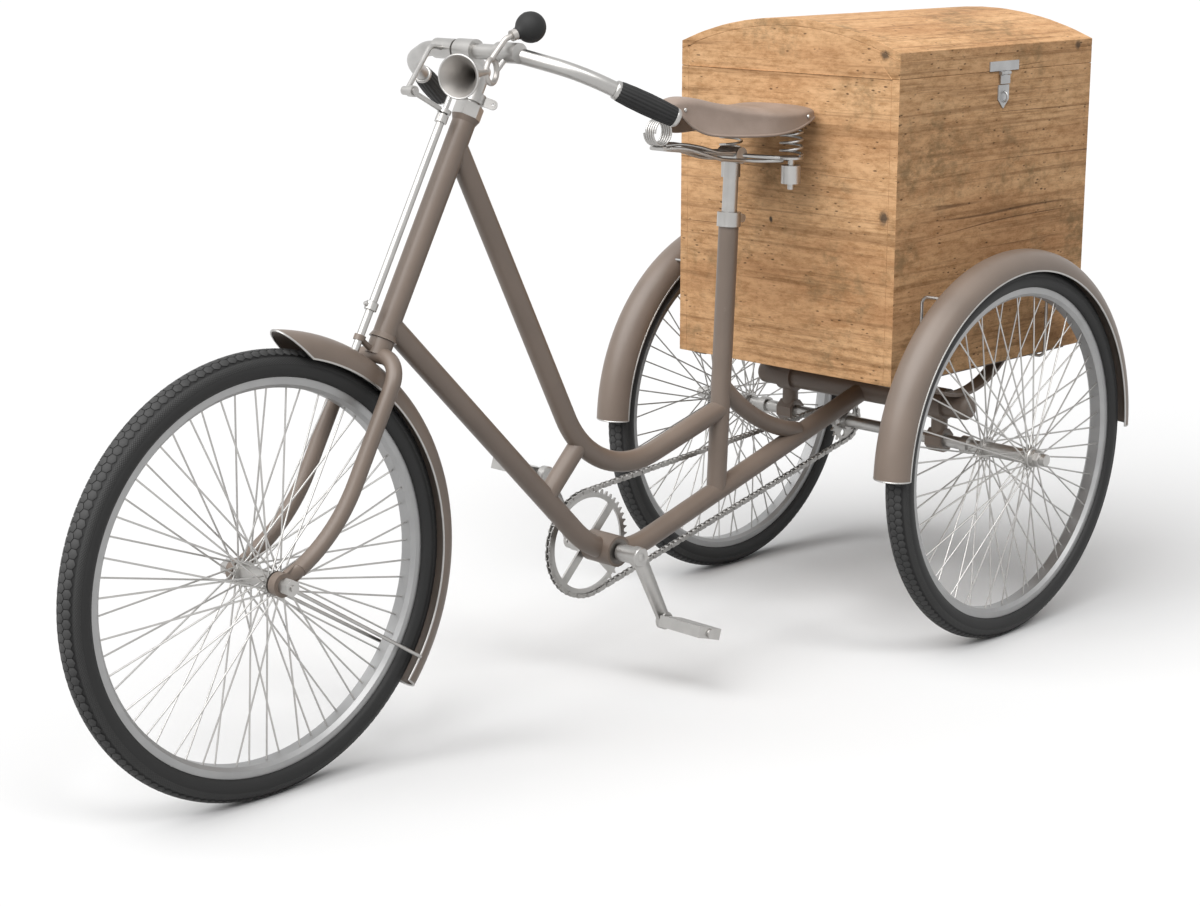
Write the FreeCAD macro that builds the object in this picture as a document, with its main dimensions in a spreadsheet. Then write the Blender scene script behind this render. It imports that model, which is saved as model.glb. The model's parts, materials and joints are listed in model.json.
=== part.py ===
"""Cargo tricycle: one steered front wheel, two rear wheels and a lidded wooden chest between them.

Millimetres. +X is forward, +Y is the rider's left, +Z is up, and the origin lies on the ground
under the middle of the tricycle. Places are given from the rear axle, or along the steering axis.
"""
import FreeCAD, Part
import math
import os
import Sketcher
from FreeCAD import Placement, Rotation, Vector
from types import SimpleNamespace

SIZES = {
    # Wheels
    "wheelbase": 1496, "track": 696, "tyre_radius": 358, "tyre_section": 26, "tyre_wall": 4,
    "rim_inner": 299, "rim_width": 34, "rim_height": 17.5, "rim_wall": 3, "rim_bed": 7, "rim_taper": 6,
    "spoke_count": 60, "spoke_crosses": 4, "spoke_radius": 1.5, "spoke_splay": 2.3,
    "spoke_rim_side": 4, "spoke_inset": 3, "flange_radius": 19, "flange_thickness": 8,
    "barrel_radius": 14, "front_flange": 38, "rear_flange": 50, "front_hub_half": 43,
    "hub_cup_radius": 16.5, "hub_cup_end": 67, "hub_nub_radius": 11, "hub_nub_end": 88,
    "hub_inner": 58, "hub_bore_end": 80, "fit": 0.05, "gap": 0.5,
    # Rear axle and the tube above it
    "axle_radius": 12, "journal_radius": 9, "collar_radius": 17, "collar_half": 8, "collar_inset": 94,
    "cross_height": 72, "cross_radius": 24, "cross_inset": 0.3, "tube_wall": 2, "cross_rounding": 12,
    "cross_plug": 16, "hanger_inset": 160, "hanger_across": 44, "hanger_length": 36,
    "hanger_post": 16, "hanger_ring": 30, "bush_wall": 4, "bush_length": 20, "shell_bush": 14,
    # Frame tubes, places from the rear axle
    "tube_radius": 19, "head_radius": 19.6, "seat_radius": 18.4, "head_top_back": 442.5,
    "head_top_height": 678, "head_length": 385, "head_angle": 28.5, "lip_radius": 23.5,
    "lip_length": 9, "pedal_axis_x": 732, "pedal_axis_drop": 108, "shell_radius": 28,
    "shell_half": 34, "shell_wall": 5, "down_joint": 358, "main_bend": 190, "main_corner_drop": 35,
    "main_corner_back": 2, "bottom_end_height": 69, "swan_radius": 18.7, "swan_joint": 47.5,
    "swan_corner_x": 760, "swan_corner_height": 5.5, "swan_end_height": 99, "strut_top_height": 90,
    "strut_low_height": 11, "strut_radius": 17, "seat_top_x": 410.6, "seat_top_height": 438,
    "seat_foot_x": 436.3, "stay_radius": 16, "stay_top_height": 146, "stay_middle_x": 325,
    "stay_middle_height": 66, "stay_end_x": 205, "stay_end_rise": 12,
    # Mudguards and their stays
    "guard_ring": 350, "guard_section": 37, "guard_wall": 2, "rear_guard_start": 2,
    "rear_guard_end": 180, "front_guard_start": 97, "front_wall_start": 105, "front_guard_end": 220,
    "wire_radius": 3, "wire_reach": 201, "wire_gap": 23.7, "wire_top": 317, "wire_bend": 14,
    "foot_length": 24, "foot_width": 14, "foot_thick": 3.2, "front_wire_angle": 213, "wire_run": 30,
    # Chest
    "chest_back": 353.7, "chest_front": 255.4, "chest_guard_gap": 48.7, "chest_foot": 151.7,
    "chest_seam": 707.6, "board": 18, "bearer_side": 32.3, "bearer_width": 30, "bearer_thick": 7.7,
    "bearer_inset": 24, "cradle_reach": 130, "cradle_thick": 6, "cradle_bite": 2, "lid_band": 46.7,
    "lid_rise": 52, "lid_board": 14, "hinge_radius": 5, "hinge_pin": 2.5, "hinge_length": 60,
    "hinge_place": 180, "leaf_thick": 2.2, "leaf_height": 34, "hasp_x": -60, "hasp_bar": 92,
    "hasp_bar_height": 18, "hasp_width": 30, "hasp_drop": 20, "hasp_thick": 2.5, "hasp_knuckle": 3.6,
    "hasp_pin": 1.6, "staple_height": 44, "staple_width": 34, "staple_ring": 9, "staple_wire": 2.2,
    # Steering, measured up the steering axis from the top lip, and forward of it
    "steerer_radius": 13.5, "steerer_bore": 10, "nut_across": 42, "nut_height": 22, "crown_drop": 27,
    "race_radius": 20, "blade_radius": 13, "blade_place": 60, "blade_bend": 44, "blade_wall": 2,
    "rake_drop": 696, "rake_bend": 280, "eye_radius": 19, "eye_inner": 46, "eye_outer": 62,
    "front_axle_radius": 5, "front_nut_across": 24, "front_nut_height": 16, "axle_end": 3,
    "bar_rise": 98, "bar_reach": 45, "bar_radius": 12.5, "bar_wall": 2, "bar_flat": 100,
    "bar_sweep_start": 2, "bar_knee_back": 58, "bar_knee_out": 200, "bar_end_back": 218,
    "bar_end_out": 283, "bar_bend": 90, "knee_bend": 150, "grip_start": 64, "grip_length": 118,
    "grip_radius": 17.5, "grip_swell": 2.5, "stem_clamp": 18, "stem_clamp_half": 20, "stem_arm": 13,
    "stem_top": 80, "quill": 60, "lamp_ring": 20, "lamp_rise": 27, "lamp_height": 16, "lamp_ear": 34,
    "lamp_ear_thick": 5, "lamp_hole": 2, "horn_mouth": 34, "horn_throat": 5, "horn_length": 96,
    "horn_wall": 1.6, "horn_rise": 4, "horn_reach": 162, "horn_out": 140, "horn_turn": 21,
    "horn_flare": 2.4, "ferrule_length": 16, "horn_loop": 18.5, "horn_pipe": 4.5, "bulb_radius": 25,
    "bulb_sink": 3, "bulb_rise": 147, "bulb_reach": 37, "bulb_out": 114, "horn_clamp_out": 97,
    "brake_clamp_out": 50, "clamp_wall": 4, "clamp_half": 9,
    # Brake
    "rod_reach": 46, "rod_radius": 6.5, "rod_thin": 4.75, "rod_top": 68, "rod_collar": 10,
    "collar_length": 13, "rod_shoulder": -23, "rod_guide": 8.5, "socket_foot": 45, "shoe_thick": 9,
    "shoe_half": 11, "shoe_length": 42, "brake_travel": 10, "shoe_clear": 0.5, "lever_arm": 76,
    "lever_radius": 4.2, "pivot_radius": 4, "lever_slack": 2, "lever_eye": 9, "lever_half": 6,
    "boss_length": 14, "pin_head": 3, "lever_ring_half": 3.4, "lever_ring_gap": 1.8,
    "lever_ring_wall": 4.5, "guide_top": 395, "guide_length": 9, "guide_radius": 9.5,
    "guide_arm": 4.75, "bracket_rise": 84, "bracket_reach": 84, "bracket_out": 44,
    # Drive
    "pitch": 12.7, "ring_teeth": 48, "sprocket_teeth": 20, "chain_line": 45, "tooth_thick": 4,
    "tooth_height": 3.4, "tooth_root": 0.28, "tooth_tip": 0.06, "roller_radius": 3.9, "ring_band": 9,
    "spider_width": 17, "spider_boss": 19, "chain_height": 8.6, "chain_plate": 1.5, "chain_gap": 0.5,
    "spindle_radius": 8, "crank_length": 148, "crank_inner": 76, "crank_thick": 13, "crank_width": 18,
    "crank_boss": 14, "crank_angle": 243, "pedal_axle": 6, "pedal_cap": 4, "pedal_cap_radius": 9,
    "pedal_tilt": 17, "pedal_start": 97, "pedal_length": 96, "pedal_width": 58, "pedal_height": 20,
    "sprocket_holes": 5, "sprocket_hole": 7, "sprocket_hole_ring": 25,
    # Seat
    "post_radius": 14, "post_foot": 330, "seat_collar_radius": 22, "seat_collar_height": 26,
    "seat_ear_out": 4, "seat_ear_half": 11, "seat_ear_radius": 8, "sleeve_depth": 45,
    "clamp_height": 568, "clamp_half": 24, "clamp_barrel": 15, "saddle_wire": 4, "chassis_bend": 60,
    "nose_x": 600, "nose_height": 622, "nose_coil": 22, "nose_turns": 5, "nose_span": 26,
    "spring_wire": 2, "spring_seat_gap": 0.2, "coil_x": 324, "coil_out": 73, "coil_foot": 566,
    "coil_top": 605, "coil_radius": 20, "coil_turns": 3, "cup_radius": 18, "cup_foot": 515,
    "cup_top": 548, "stud_radius": 6, "stud_foot": 504, "leather_nose_x": 588, "leather_rear_x": 264,
    "saddle_half": 98, "saddle_depth": 46, "leather_gap": 0.3, "nose_gap": 1,
}

doc = FreeCAD.newDocument("cargo_tricycle")
sheet = doc.addObject("Spreadsheet::Sheet", "dim")
for row, (name, value) in enumerate(SIZES.items(), 1):
    sheet.set("A%d" % row, name)
    sheet.set("B%d" % row, str(value))
    sheet.setAlias("B%d" % row, name)
doc.recompute()
d = SimpleNamespace(**{name: float(sheet.get(name)) for name in SIZES})
d.chest_half = d.track / 2 - d.guard_section - d.chest_guard_gap
d.cross_half = d.chest_half - d.cross_inset
d.hanger_place = d.track / 2 - d.hanger_inset
d.bearer_place = d.chest_half - d.bearer_side
d.wire_out = d.chest_half + d.wire_gap

ALONG_Y = Rotation(Vector(0, 0, 1), Vector(0, 1, 0))
UP = Vector(0, 0, 1)
LEFT = Vector(0, 1, 0)
BELL_STEPS = 6
COIL_POINTS = 240
REAR_X = "(dim.guard_ring + dim.guard_section - dim.wheelbase - dim.tyre_radius) / 2"
FRONT_X = "(dim.guard_ring + dim.guard_section + dim.wheelbase - dim.tyre_radius) / 2"
AXLE_Z = "dim.tyre_radius"
rear_x = (d.guard_ring + d.guard_section - d.wheelbase - d.tyre_radius) / 2
nodes = []


# Places

def at(x, y, z):
    """A place given from the middle of the rear axle."""
    return Vector(x + rear_x, y, z + d.tyre_radius)


head_sine = math.sin(math.radians(d.head_angle))
head_cosine = math.cos(math.radians(d.head_angle))
head_up = Vector(-head_sine, 0, head_cosine)
head_forward = Vector(head_cosine, 0, head_sine)
head_top = at(d.wheelbase - d.head_top_back, 0, d.head_top_height)


def head(rise, reach=0, out=0):
    """A place given along the steering axis from its top lip, forward of it and to the left."""
    return head_top + head_up * rise + head_forward * reach + LEFT * out


# Makers

def node(thing, label):
    thing.Label = label
    nodes.append(thing)
    return thing


def feature(label, shape):
    thing = doc.addObject("Part::Feature", label)
    thing.Shape = shape
    return node(thing, label)


def primitive(kind, name, place, turn=None, **formulas):
    """A Part primitive whose sizes and place are formulas on the sheet."""
    thing = doc.addObject("Part::" + kind, name)
    if turn:
        thing.Placement = Placement(Vector(), turn)
    for axis, formula in zip("xyz", place):
        thing.setExpression("Placement.Base." + axis, formula)
    for size, formula in formulas.items():
        thing.setExpression(size, formula)
    return thing


def boolean(kind, name, base, tool):
    thing = doc.addObject("Part::" + kind, name)
    thing.Base = base
    thing.Tool = tool
    return thing


def compound(name, things):
    thing = doc.addObject("Part::Compound", name)
    thing.Links = things
    return thing


def closed_sketch(body, name, plane_role, corners):
    """A closed outline of straight lines whose corners are pairs of formulas on the sheet."""
    sketch = body.newObject("Sketcher::SketchObject", name)
    plane = [item for item in body.Origin.OriginFeatures if item.Role == plane_role][0]
    sketch.AttachmentSupport = (plane, [""])
    sketch.MapMode = "FlatFace"
    spots = [Vector(worked_out(across), worked_out(along), 0) for across, along in corners]
    count = len(spots)
    for i in range(count):
        sketch.addGeometry(Part.LineSegment(spots[i], spots[(i + 1) % count]))
    for i in range(count):
        sketch.addConstraint(Sketcher.Constraint("Coincident", i, 2, (i + 1) % count, 1))
    for i in range(count):
        ways = (("DistanceX", corners[i][0], spots[i].x), ("DistanceY", corners[i][1], spots[i].y))
        for kind, formula, value in ways:
            index = sketch.addConstraint(Sketcher.Constraint(kind, i, 1, value))
            sketch.setExpression("Constraints[%d]" % index, formula)
    return sketch


def worked_out(formula):
    """The value of a formula on the sheet."""
    probe = sheet.evalExpression(formula.replace("dim.", "")) if formula else 0
    return float(getattr(probe, "Value", probe))


def turned(name, place, corners):
    """A body turned about the Y axis through its place, from corners (radius, along the axis)."""
    body = doc.addObject("PartDesign::Body", name)
    sketch = closed_sketch(body, name + "_outline", "XY_Plane", corners)
    turn = body.newObject("PartDesign::Revolution", name + "_turn")
    turn.Profile = sketch
    turn.ReferenceAxis = (sketch, ["V_Axis"])
    turn.Angle = 360
    for axis, formula in zip("xyz", place):
        body.setExpression("Placement.Base." + axis, formula)
    return body


def bar(start, end, radius):
    """A round bar from one place to another."""
    reach = end - start
    return Part.makeCylinder(radius, reach.Length, start, reach)


def route(points, bends):
    """Straight runs joined by tangent arcs: one bend radius for each inner point."""
    edges = []
    last = points[0]
    for i, bend in enumerate(bends, 1):
        corner = points[i]
        before = (corner - points[i - 1]).normalize()
        after = (points[i + 1] - corner).normalize()
        turn = before.getAngle(after)
        room = min((corner - last).Length, (points[i + 1] - corner).Length)
        bend = min(bend, room / math.tan(turn / 2))
        cut = bend * math.tan(turn / 2)
        first = corner - before * cut
        second = corner + after * cut
        inward = (after - before).normalize()
        middle = corner + inward * (bend / math.cos(turn / 2) - bend)
        if (first - last).Length > 0.001:
            edges.append(Part.LineSegment(last, first).toShape())
        edges.append(Part.Arc(first, middle, second).toShape())
        last = second
    edges.append(Part.LineSegment(last, points[-1]).toShape())
    return Part.Wire(edges)


def swept(path, radius):
    """A round bar along a path."""
    first = path.OrderedEdges[0]
    start = first.valueAt(first.FirstParameter)
    ring = Part.Wire(Part.makeCircle(radius, start, first.tangentAt(first.FirstParameter)))
    return path.makePipeShell([ring], True, False)


def bent_bar(points, bends, radius):
    return swept(route(points, bends), radius)


def prism(points, depth):
    """A flat outline pushed out by a vector."""
    return Part.Face(Part.makePolygon(points + points[:1])).extrude(depth)


def hexagon(middle, direction, across, height, sides=6):
    """A nut or block: a regular prism along a direction, measured across its flats."""
    radius = across / 2 / math.cos(math.pi / sides)
    turn = Rotation(UP, direction)
    corners = []
    for i in range(sides):
        angle = math.pi / sides * (2 * i + 1)
        corners.append(middle + turn.multVec(Vector(radius * math.cos(angle), radius * math.sin(angle), 0)))
    return prism(corners, direction.normalize() * height)


def both(shape):
    """A shape and its mirror image on the other side of the tricycle."""
    return [shape, shape.mirror(Vector(), LEFT)]


# Wheels

def hub_corners(bore, half, flange):
    """Outline of a hub open at both ends, with two flanges."""
    inner = flange + " - dim.flange_thickness / 2"
    outer = flange + " + dim.flange_thickness / 2"
    right = [(bore, "-(%s)" % half), ("dim.barrel_radius", "-(%s)" % half),
             ("dim.barrel_radius", "-(%s)" % outer), ("dim.flange_radius", "-(%s)" % outer),
             ("dim.flange_radius", "-(%s)" % inner), ("dim.barrel_radius", "-(%s)" % inner)]
    left = [("dim.barrel_radius", inner), ("dim.flange_radius", inner), ("dim.flange_radius", outer),
            ("dim.barrel_radius", outer), ("dim.barrel_radius", half), (bore, half)]
    return right + left


def rear_hub_corners(bore, side):
    """Outline of a rear hub: open towards the chest, closed by a cup and a nub outside."""
    inner = "dim.rear_flange - dim.flange_thickness / 2"
    outer = "dim.rear_flange + dim.flange_thickness / 2"
    corners = [(bore, "-dim.hub_inner"), ("dim.barrel_radius", "-dim.hub_inner"),
               ("dim.barrel_radius", "-(%s)" % outer), ("dim.flange_radius", "-(%s)" % outer),
               ("dim.flange_radius", "-(%s)" % inner), ("dim.barrel_radius", "-(%s)" % inner),
               ("dim.barrel_radius", inner), ("dim.flange_radius", inner), ("dim.flange_radius", outer),
               ("dim.hub_cup_radius", outer), ("dim.hub_cup_radius", "dim.hub_cup_end"),
               ("dim.hub_nub_radius", "dim.hub_cup_end"), ("dim.hub_nub_radius", "dim.hub_nub_end"),
               ("0", "dim.hub_nub_end"), ("0", "dim.hub_bore_end"), (bore, "dim.hub_bore_end")]
    return [(radius, "%d * (%s)" % (side, along)) for radius, along in corners]


def rim_corners():
    half = "dim.rim_width / 2"
    top = "dim.rim_inner + dim.rim_height"
    bed = "dim.rim_inner + dim.rim_bed"
    taper = "dim.rim_inner + dim.rim_taper"
    side = [("dim.rim_inner", half + " - dim.rim_taper"), (taper, half), (top, half),
            (top, half + " - dim.rim_wall"), (bed, half + " - dim.rim_wall")]
    other = [(radius, "-(%s)" % along) for radius, along in reversed(side)]
    return side + other


def tyre(name, place):
    """An open ring of round section that sits on the rim's two edges."""
    ring = "dim.tyre_radius - dim.tyre_section"
    outside = primitive("Torus", name + "_outside", place, ALONG_Y, Radius1=ring, Radius2="dim.tyre_section")
    inside = primitive("Torus", name + "_inside", place, ALONG_Y, Radius1=ring,
                       Radius2="dim.tyre_section - dim.tyre_wall")
    mouth_half = "(dim.rim_width / 2 - dim.rim_wall)"
    mouth_place = (place[0], place[1] + " - " + mouth_half, place[2])
    mouth = primitive("Cylinder", name + "_mouth", mouth_place, ALONG_Y,
                      Radius="dim.rim_inner + dim.rim_height + 1", Height="2 * " + mouth_half)
    hollow = boolean("Cut", name + "_hollow", outside, inside)
    return boolean("Cut", name + "_open", hollow, mouth)


def spokes(centre, flange, hub, rim):
    """Crossed spokes from the flanges to the rim, cut where they enter either."""
    pairs = int(d.spoke_count / 4)
    step = 2 * math.pi / pairs
    lead = d.spoke_crosses * 4 * math.pi / d.spoke_count
    bars = []
    for side in (1, -1):
        for i in range(pairs):
            for way in (1, -1):
                rim_angle = i * step + (way + 1) * step / 4 + (side + 1) * step / 8
                hub_angle = rim_angle - way * lead
                lift = way * d.spoke_splay
                inner_ring = d.flange_radius - d.spoke_inset
                outer_ring = d.rim_inner + d.rim_bed / 2
                start = centre + Vector(inner_ring * math.cos(hub_angle), side * flange + lift,
                                        inner_ring * math.sin(hub_angle))
                end = centre + Vector(outer_ring * math.cos(rim_angle), side * d.spoke_rim_side + lift,
                                      outer_ring * math.sin(rim_angle))
                bars.append(bar(start, end, d.spoke_radius))
    return Part.makeCompound(bars).cut([hub.Shape, rim.Shape])


right_place = (REAR_X, "-dim.track / 2", AXLE_Z)
left_place = (REAR_X, "dim.track / 2", AXLE_Z)
front_place = (FRONT_X, "0", AXLE_Z)
hubs = {
    "front": turned("front_hub", front_place,
                    hub_corners("dim.front_axle_radius + dim.fit", "dim.front_hub_half", "dim.front_flange")),
    "right": turned("right_hub", right_place, rear_hub_corners("dim.journal_radius", -1)),
    "left": turned("left_hub", left_place, rear_hub_corners("dim.journal_radius + dim.fit", 1)),
}
wheel_places = {"front": front_place, "right": right_place, "left": left_place}
rims = {}
for wheel, place in wheel_places.items():
    node(hubs[wheel], wheel + "_hub")
    rims[wheel] = node(turned(wheel + "_rim", place, rim_corners()), wheel + "_rim")
    open_tyre = tyre(wheel + "_tyre", place)
    node(boolean("Cut", wheel + "_tyre", open_tyre, rims[wheel]), wheel + "_tyre")
doc.recompute()
wheel_centres = {"front": at(d.wheelbase, 0, 0),
                 "right": at(0, -d.track / 2, 0),
                 "left": at(0, d.track / 2, 0)}
for wheel, centre in wheel_centres.items():
    flange = d.front_flange if wheel == "front" else d.rear_flange
    feature(wheel + "_spokes", spokes(centre, flange, hubs[wheel], rims[wheel]))


# Rear axle, turned with its journals and set collars

def axle_corners():
    end = "dim.track / 2 + dim.hub_bore_end - dim.gap"
    shoulder = "dim.track / 2 - dim.hub_inner - dim.gap"
    outer = "dim.track / 2 - dim.collar_inset + dim.collar_half"
    inner = "dim.track / 2 - dim.collar_inset - dim.collar_half"
    side = [("0", end), ("dim.journal_radius", end),
            ("dim.journal_radius", shoulder), ("dim.axle_radius", shoulder),
            ("dim.axle_radius", outer), ("dim.collar_radius", outer), ("dim.collar_radius", inner),
            ("dim.axle_radius", inner)]
    other = [(radius, "-(%s)" % along) for radius, along in reversed(side)]
    return side + other


node(turned("rear_axle", (REAR_X, "0", AXLE_Z), axle_corners()), "rear_axle")


# Frame tubes: each is hollow and is cut to fit the tubes it meets

def along(start, end, share):
    return start + (end - start) * share


def at_height(start, end, height):
    """The place on a straight run at a height above the axle."""
    return along(start, end, (height + d.tyre_radius - start.z) / (end.z - start.z))


def at_length(start, end, x):
    """The place on a straight run at a distance ahead of the rear axle."""
    return along(start, end, (x + rear_x - start.x) / (end.x - start.x))


def largest(shape):
    """The largest solid of a shape, once what lies inside another tube is off."""
    return max(shape.Solids, key=lambda solid: solid.Volume)


def cross_bar(place, half, radius):
    """A round bar across the tricycle, as long to the left as to the right."""
    return Part.makeCylinder(radius, 2 * half, place - LEFT * half, LEFT)


pedal_axis = at(d.pedal_axis_x, 0, -d.pedal_axis_drop)
cross_axis = at(0, 0, d.cross_height)
down_start = head(-d.down_joint)
main_corner = pedal_axis + Vector(-d.main_corner_back, 0, -d.main_corner_drop)
bottom_end = at(0, 0, d.bottom_end_height)
main_route = route([down_start, main_corner, bottom_end], [d.main_bend])
seat_top = at(d.seat_top_x, 0, d.seat_top_height)
seat_foot = at_length(main_corner, bottom_end, d.seat_foot_x)
seat_up = (seat_top - seat_foot).normalize()
swan_start = head(-d.swan_joint)
swan_corner = at(d.swan_corner_x, 0, d.swan_corner_height)
swan_end = at_height(seat_foot, seat_top, d.swan_end_height)
swan_route = route([swan_start, swan_corner, swan_end], [d.main_bend])
strut_top = at_height(swan_start, swan_corner, d.strut_top_height)
strut_low = at_height(down_start, main_corner, d.strut_low_height)
stay_top = at_height(seat_foot, seat_top, d.stay_top_height)
stay_middle = at(d.stay_middle_x, 0, d.stay_middle_height)
stay_end = at_length(main_corner, bottom_end, d.stay_end_x) + UP * d.stay_end_rise
stay_route = Part.Wire([Part.Arc(stay_top, stay_middle, stay_end).toShape()])

head_solid = bar(head(0), head(-d.head_length), d.head_radius)
main_solid = swept(main_route, d.tube_radius)
seat_solid = bar(seat_foot, seat_top, d.seat_radius)
swan_solid = swept(swan_route, d.swan_radius)
shell_solid = cross_bar(pedal_axis, d.shell_half, d.shell_radius)
cross_solid = cross_bar(cross_axis, d.cross_half, d.cross_radius)

head_bore = d.head_radius - d.tube_wall
top_lip = Part.makeCone(d.head_radius, d.lip_radius, d.lip_length, head(-d.lip_length), head_up)
low_lip = Part.makeCone(d.lip_radius, d.head_radius, d.lip_length, head(-d.head_length), head_up)
head_tube = head_solid.fuse([top_lip, low_lip]).removeSplitter()
feature("head_tube", head_tube.cut(bar(head(0), head(-d.head_length), head_bore)))

main_tube = main_solid.cut(swept(main_route, d.tube_radius - d.tube_wall))
main_tube = main_tube.cut([head_solid, low_lip, shell_solid, cross_solid])
ahead_of_pedals = Part.makeBox(d.wheelbase, d.wheelbase, d.wheelbase,
                               pedal_axis - Vector(0, d.wheelbase / 2, d.wheelbase / 2))
feature("bottom_tube", largest(main_tube.cut(ahead_of_pedals)))
feature("down_tube", largest(main_tube.common(ahead_of_pedals)))
seat_tube = seat_solid.cut(bar(seat_foot, seat_top, d.seat_radius - d.tube_wall))
feature("seat_tube", seat_tube.cut(main_solid))
swan_tube = swan_solid.cut(swept(swan_route, d.swan_radius - d.tube_wall))
feature("swan_tube", swan_tube.cut([head_solid, seat_solid]))
strut = bar(strut_top, strut_low, d.strut_radius).cut(bar(strut_top, strut_low, d.strut_radius - d.tube_wall))
strut = strut.cut([swan_solid, main_solid])
stay = swept(stay_route, d.stay_radius).cut(swept(stay_route, d.stay_radius - d.tube_wall))
feature("frame_braces", Part.makeCompound([strut, stay.cut([seat_solid, main_solid])]))

shell_bore = d.shell_radius - d.shell_wall
feature("pedal_bearing_shell", shell_solid.cut(cross_bar(pedal_axis, d.shell_half, shell_bore)))


# Bearing bushes: head tube, pedal-bearing shell and axle hangers

def bush(start, end, outer, inner):
    return bar(start, end, outer).cut(bar(start, end, inner))


axle_middle = at(0, 0, 0)
bush_outer = d.axle_radius + d.bush_wall
shell_bush_start = pedal_axis + LEFT * (d.shell_half - d.shell_bush)
shell_bush_end = pedal_axis + LEFT * d.shell_half
hanger_start = axle_middle + LEFT * (d.hanger_place - d.hanger_length / 2)
hanger_end = axle_middle + LEFT * (d.hanger_place + d.hanger_length / 2)
bushes = [bush(head(0), head(-d.bush_length), head_bore, d.steerer_radius + d.fit)]
low_bush_end = head(d.bush_length - d.head_length)
bushes.append(bush(head(-d.head_length), low_bush_end, head_bore, d.steerer_radius + d.fit))
bushes += both(bush(shell_bush_start, shell_bush_end, shell_bore, d.spindle_radius + d.fit))
bushes += both(bush(hanger_start, hanger_end, bush_outer, d.axle_radius + d.fit))
feature("bearing_bushes", Part.makeCompound(bushes))


# Rear cross tube with domed plugs, and the hangers that carry the axle below it

plug_start = cross_axis + LEFT * (d.cross_half - d.cross_plug)
plug = Part.makeCylinder(d.cross_radius, d.cross_plug, plug_start, LEFT)
rim_edge = [edge for edge in plug.Edges if abs(edge.CenterOfMass.y - d.cross_half) < 0.01 and edge.isClosed()]
plug = plug.makeFillet(min(d.cross_rounding, d.cross_plug - 1), rim_edge[:1])
pipe = cross_bar(cross_axis, d.cross_half - d.cross_plug, d.cross_radius)
pipe = pipe.cut(cross_bar(cross_axis, d.cross_half - d.cross_plug, d.cross_radius - d.tube_wall))
feature("cross_tube", Part.makeCompound([pipe] + both(plug)))

block = hexagon(hanger_start, LEFT, d.hanger_across, d.hanger_length, 8)
post_middle = axle_middle + LEFT * d.hanger_place
post = bar(post_middle, post_middle + UP * d.cross_height, d.hanger_post)
ring = bar(hanger_start + UP * d.cross_height, hanger_end + UP * d.cross_height, d.hanger_ring)
hanger = block.fuse([post, ring]).removeSplitter()
hanger = hanger.cut([cross_solid, bar(hanger_start, hanger_end, bush_outer)])
feature("axle_hangers", Part.makeCompound(both(hanger)))


# Bearers under the chest, held up by curved cradle straps over the cross tube

bearer_low = d.chest_foot - d.bearer_thick
bearer_length = d.chest_back + d.chest_front - 2 * d.bearer_inset
bearer_corner = at(d.bearer_inset - d.chest_back, d.bearer_place - d.bearer_width / 2, bearer_low)
bearer = Part.makeBox(bearer_length, d.bearer_width, d.bearer_thick, bearer_corner)
cradle_low = d.cross_height + d.cross_radius - d.cradle_bite
cradle_sag = bearer_low - cradle_low
cradle_ring = (d.cradle_reach ** 2 + cradle_sag ** 2) / (2 * cradle_sag)
cradle_start = at(0, d.bearer_place - d.bearer_width / 2, cradle_low + cradle_ring)
cradle = Part.makeCylinder(cradle_ring, d.bearer_width, cradle_start, LEFT)
cradle = cradle.cut(Part.makeCylinder(cradle_ring - d.cradle_thick, d.bearer_width, cradle_start, LEFT))
cradle_box = Part.makeBox(2 * d.cradle_reach, d.bearer_width, cradle_sag,
                          at(-d.cradle_reach, d.bearer_place - d.bearer_width / 2, cradle_low))
cradle = cradle.common(cradle_box).cut(cross_solid)
feature("chest_bearers", Part.makeCompound(both(bearer) + both(cradle)))


# Mudguards

def guard(centre, start, end):
    """A half-round gutter bent round a wheel, between two angles from straight ahead."""
    outer = d.guard_section
    inner = d.guard_section - d.guard_wall
    middle = centre + Vector(d.guard_ring, 0, 0)
    ahead = Vector(1, 0, 0)
    outline = [Part.Arc(middle - LEFT * outer, middle + ahead * outer, middle + LEFT * outer).toShape(),
               Part.LineSegment(middle + LEFT * outer, middle + LEFT * inner).toShape(),
               Part.Arc(middle + LEFT * inner, middle + ahead * inner, middle - LEFT * inner).toShape(),
               Part.LineSegment(middle - LEFT * inner, middle - LEFT * outer).toShape()]
    section = Part.Face(Part.Wire(outline))
    section.rotate(centre, -LEFT, start)
    return section.revolve(centre, -LEFT, end - start)


left_guard = guard(wheel_centres["left"], d.rear_guard_start, d.rear_guard_end)
feature("rear_mudguards", Part.makeCompound(both(left_guard)))


# Wire stays from under the chest to the rear mudguards

def guard_side(reach, height):
    """How far out the chest's side of the left mudguard lies, at a place on its curve."""
    above = math.hypot(reach, height) - d.guard_ring
    return d.track / 2 - math.sqrt(d.guard_section ** 2 - above ** 2)


wire_low = d.chest_foot - d.foot_thick
stays = []
for reach in (d.wire_reach, -d.wire_reach):
    points = [at(reach, guard_side(reach, d.wire_top) + d.wire_radius, d.wire_top),
              at(reach, d.wire_out, d.wire_top),
              at(reach, d.wire_out, wire_low),
              at(reach, d.chest_half - d.foot_width, wire_low)]
    wire = bent_bar(points, [d.wire_bend, d.wire_bend], d.wire_radius)
    foot = Part.makeBox(d.foot_length, d.foot_width, d.foot_thick,
                        at(reach - d.foot_length / 2, d.chest_half - d.foot_width, wire_low))
    gutter = Part.makeTorus(d.guard_ring, d.guard_section, wheel_centres["left"], LEFT)
    stays.append(wire.fuse(foot).removeSplitter().cut(gutter))
feature("rear_guard_stays", Part.makeCompound(stays + [stay.mirror(Vector(), LEFT) for stay in stays]))


# Seat clamp: a split collar on the seat tube with a sleeve inside it

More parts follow.
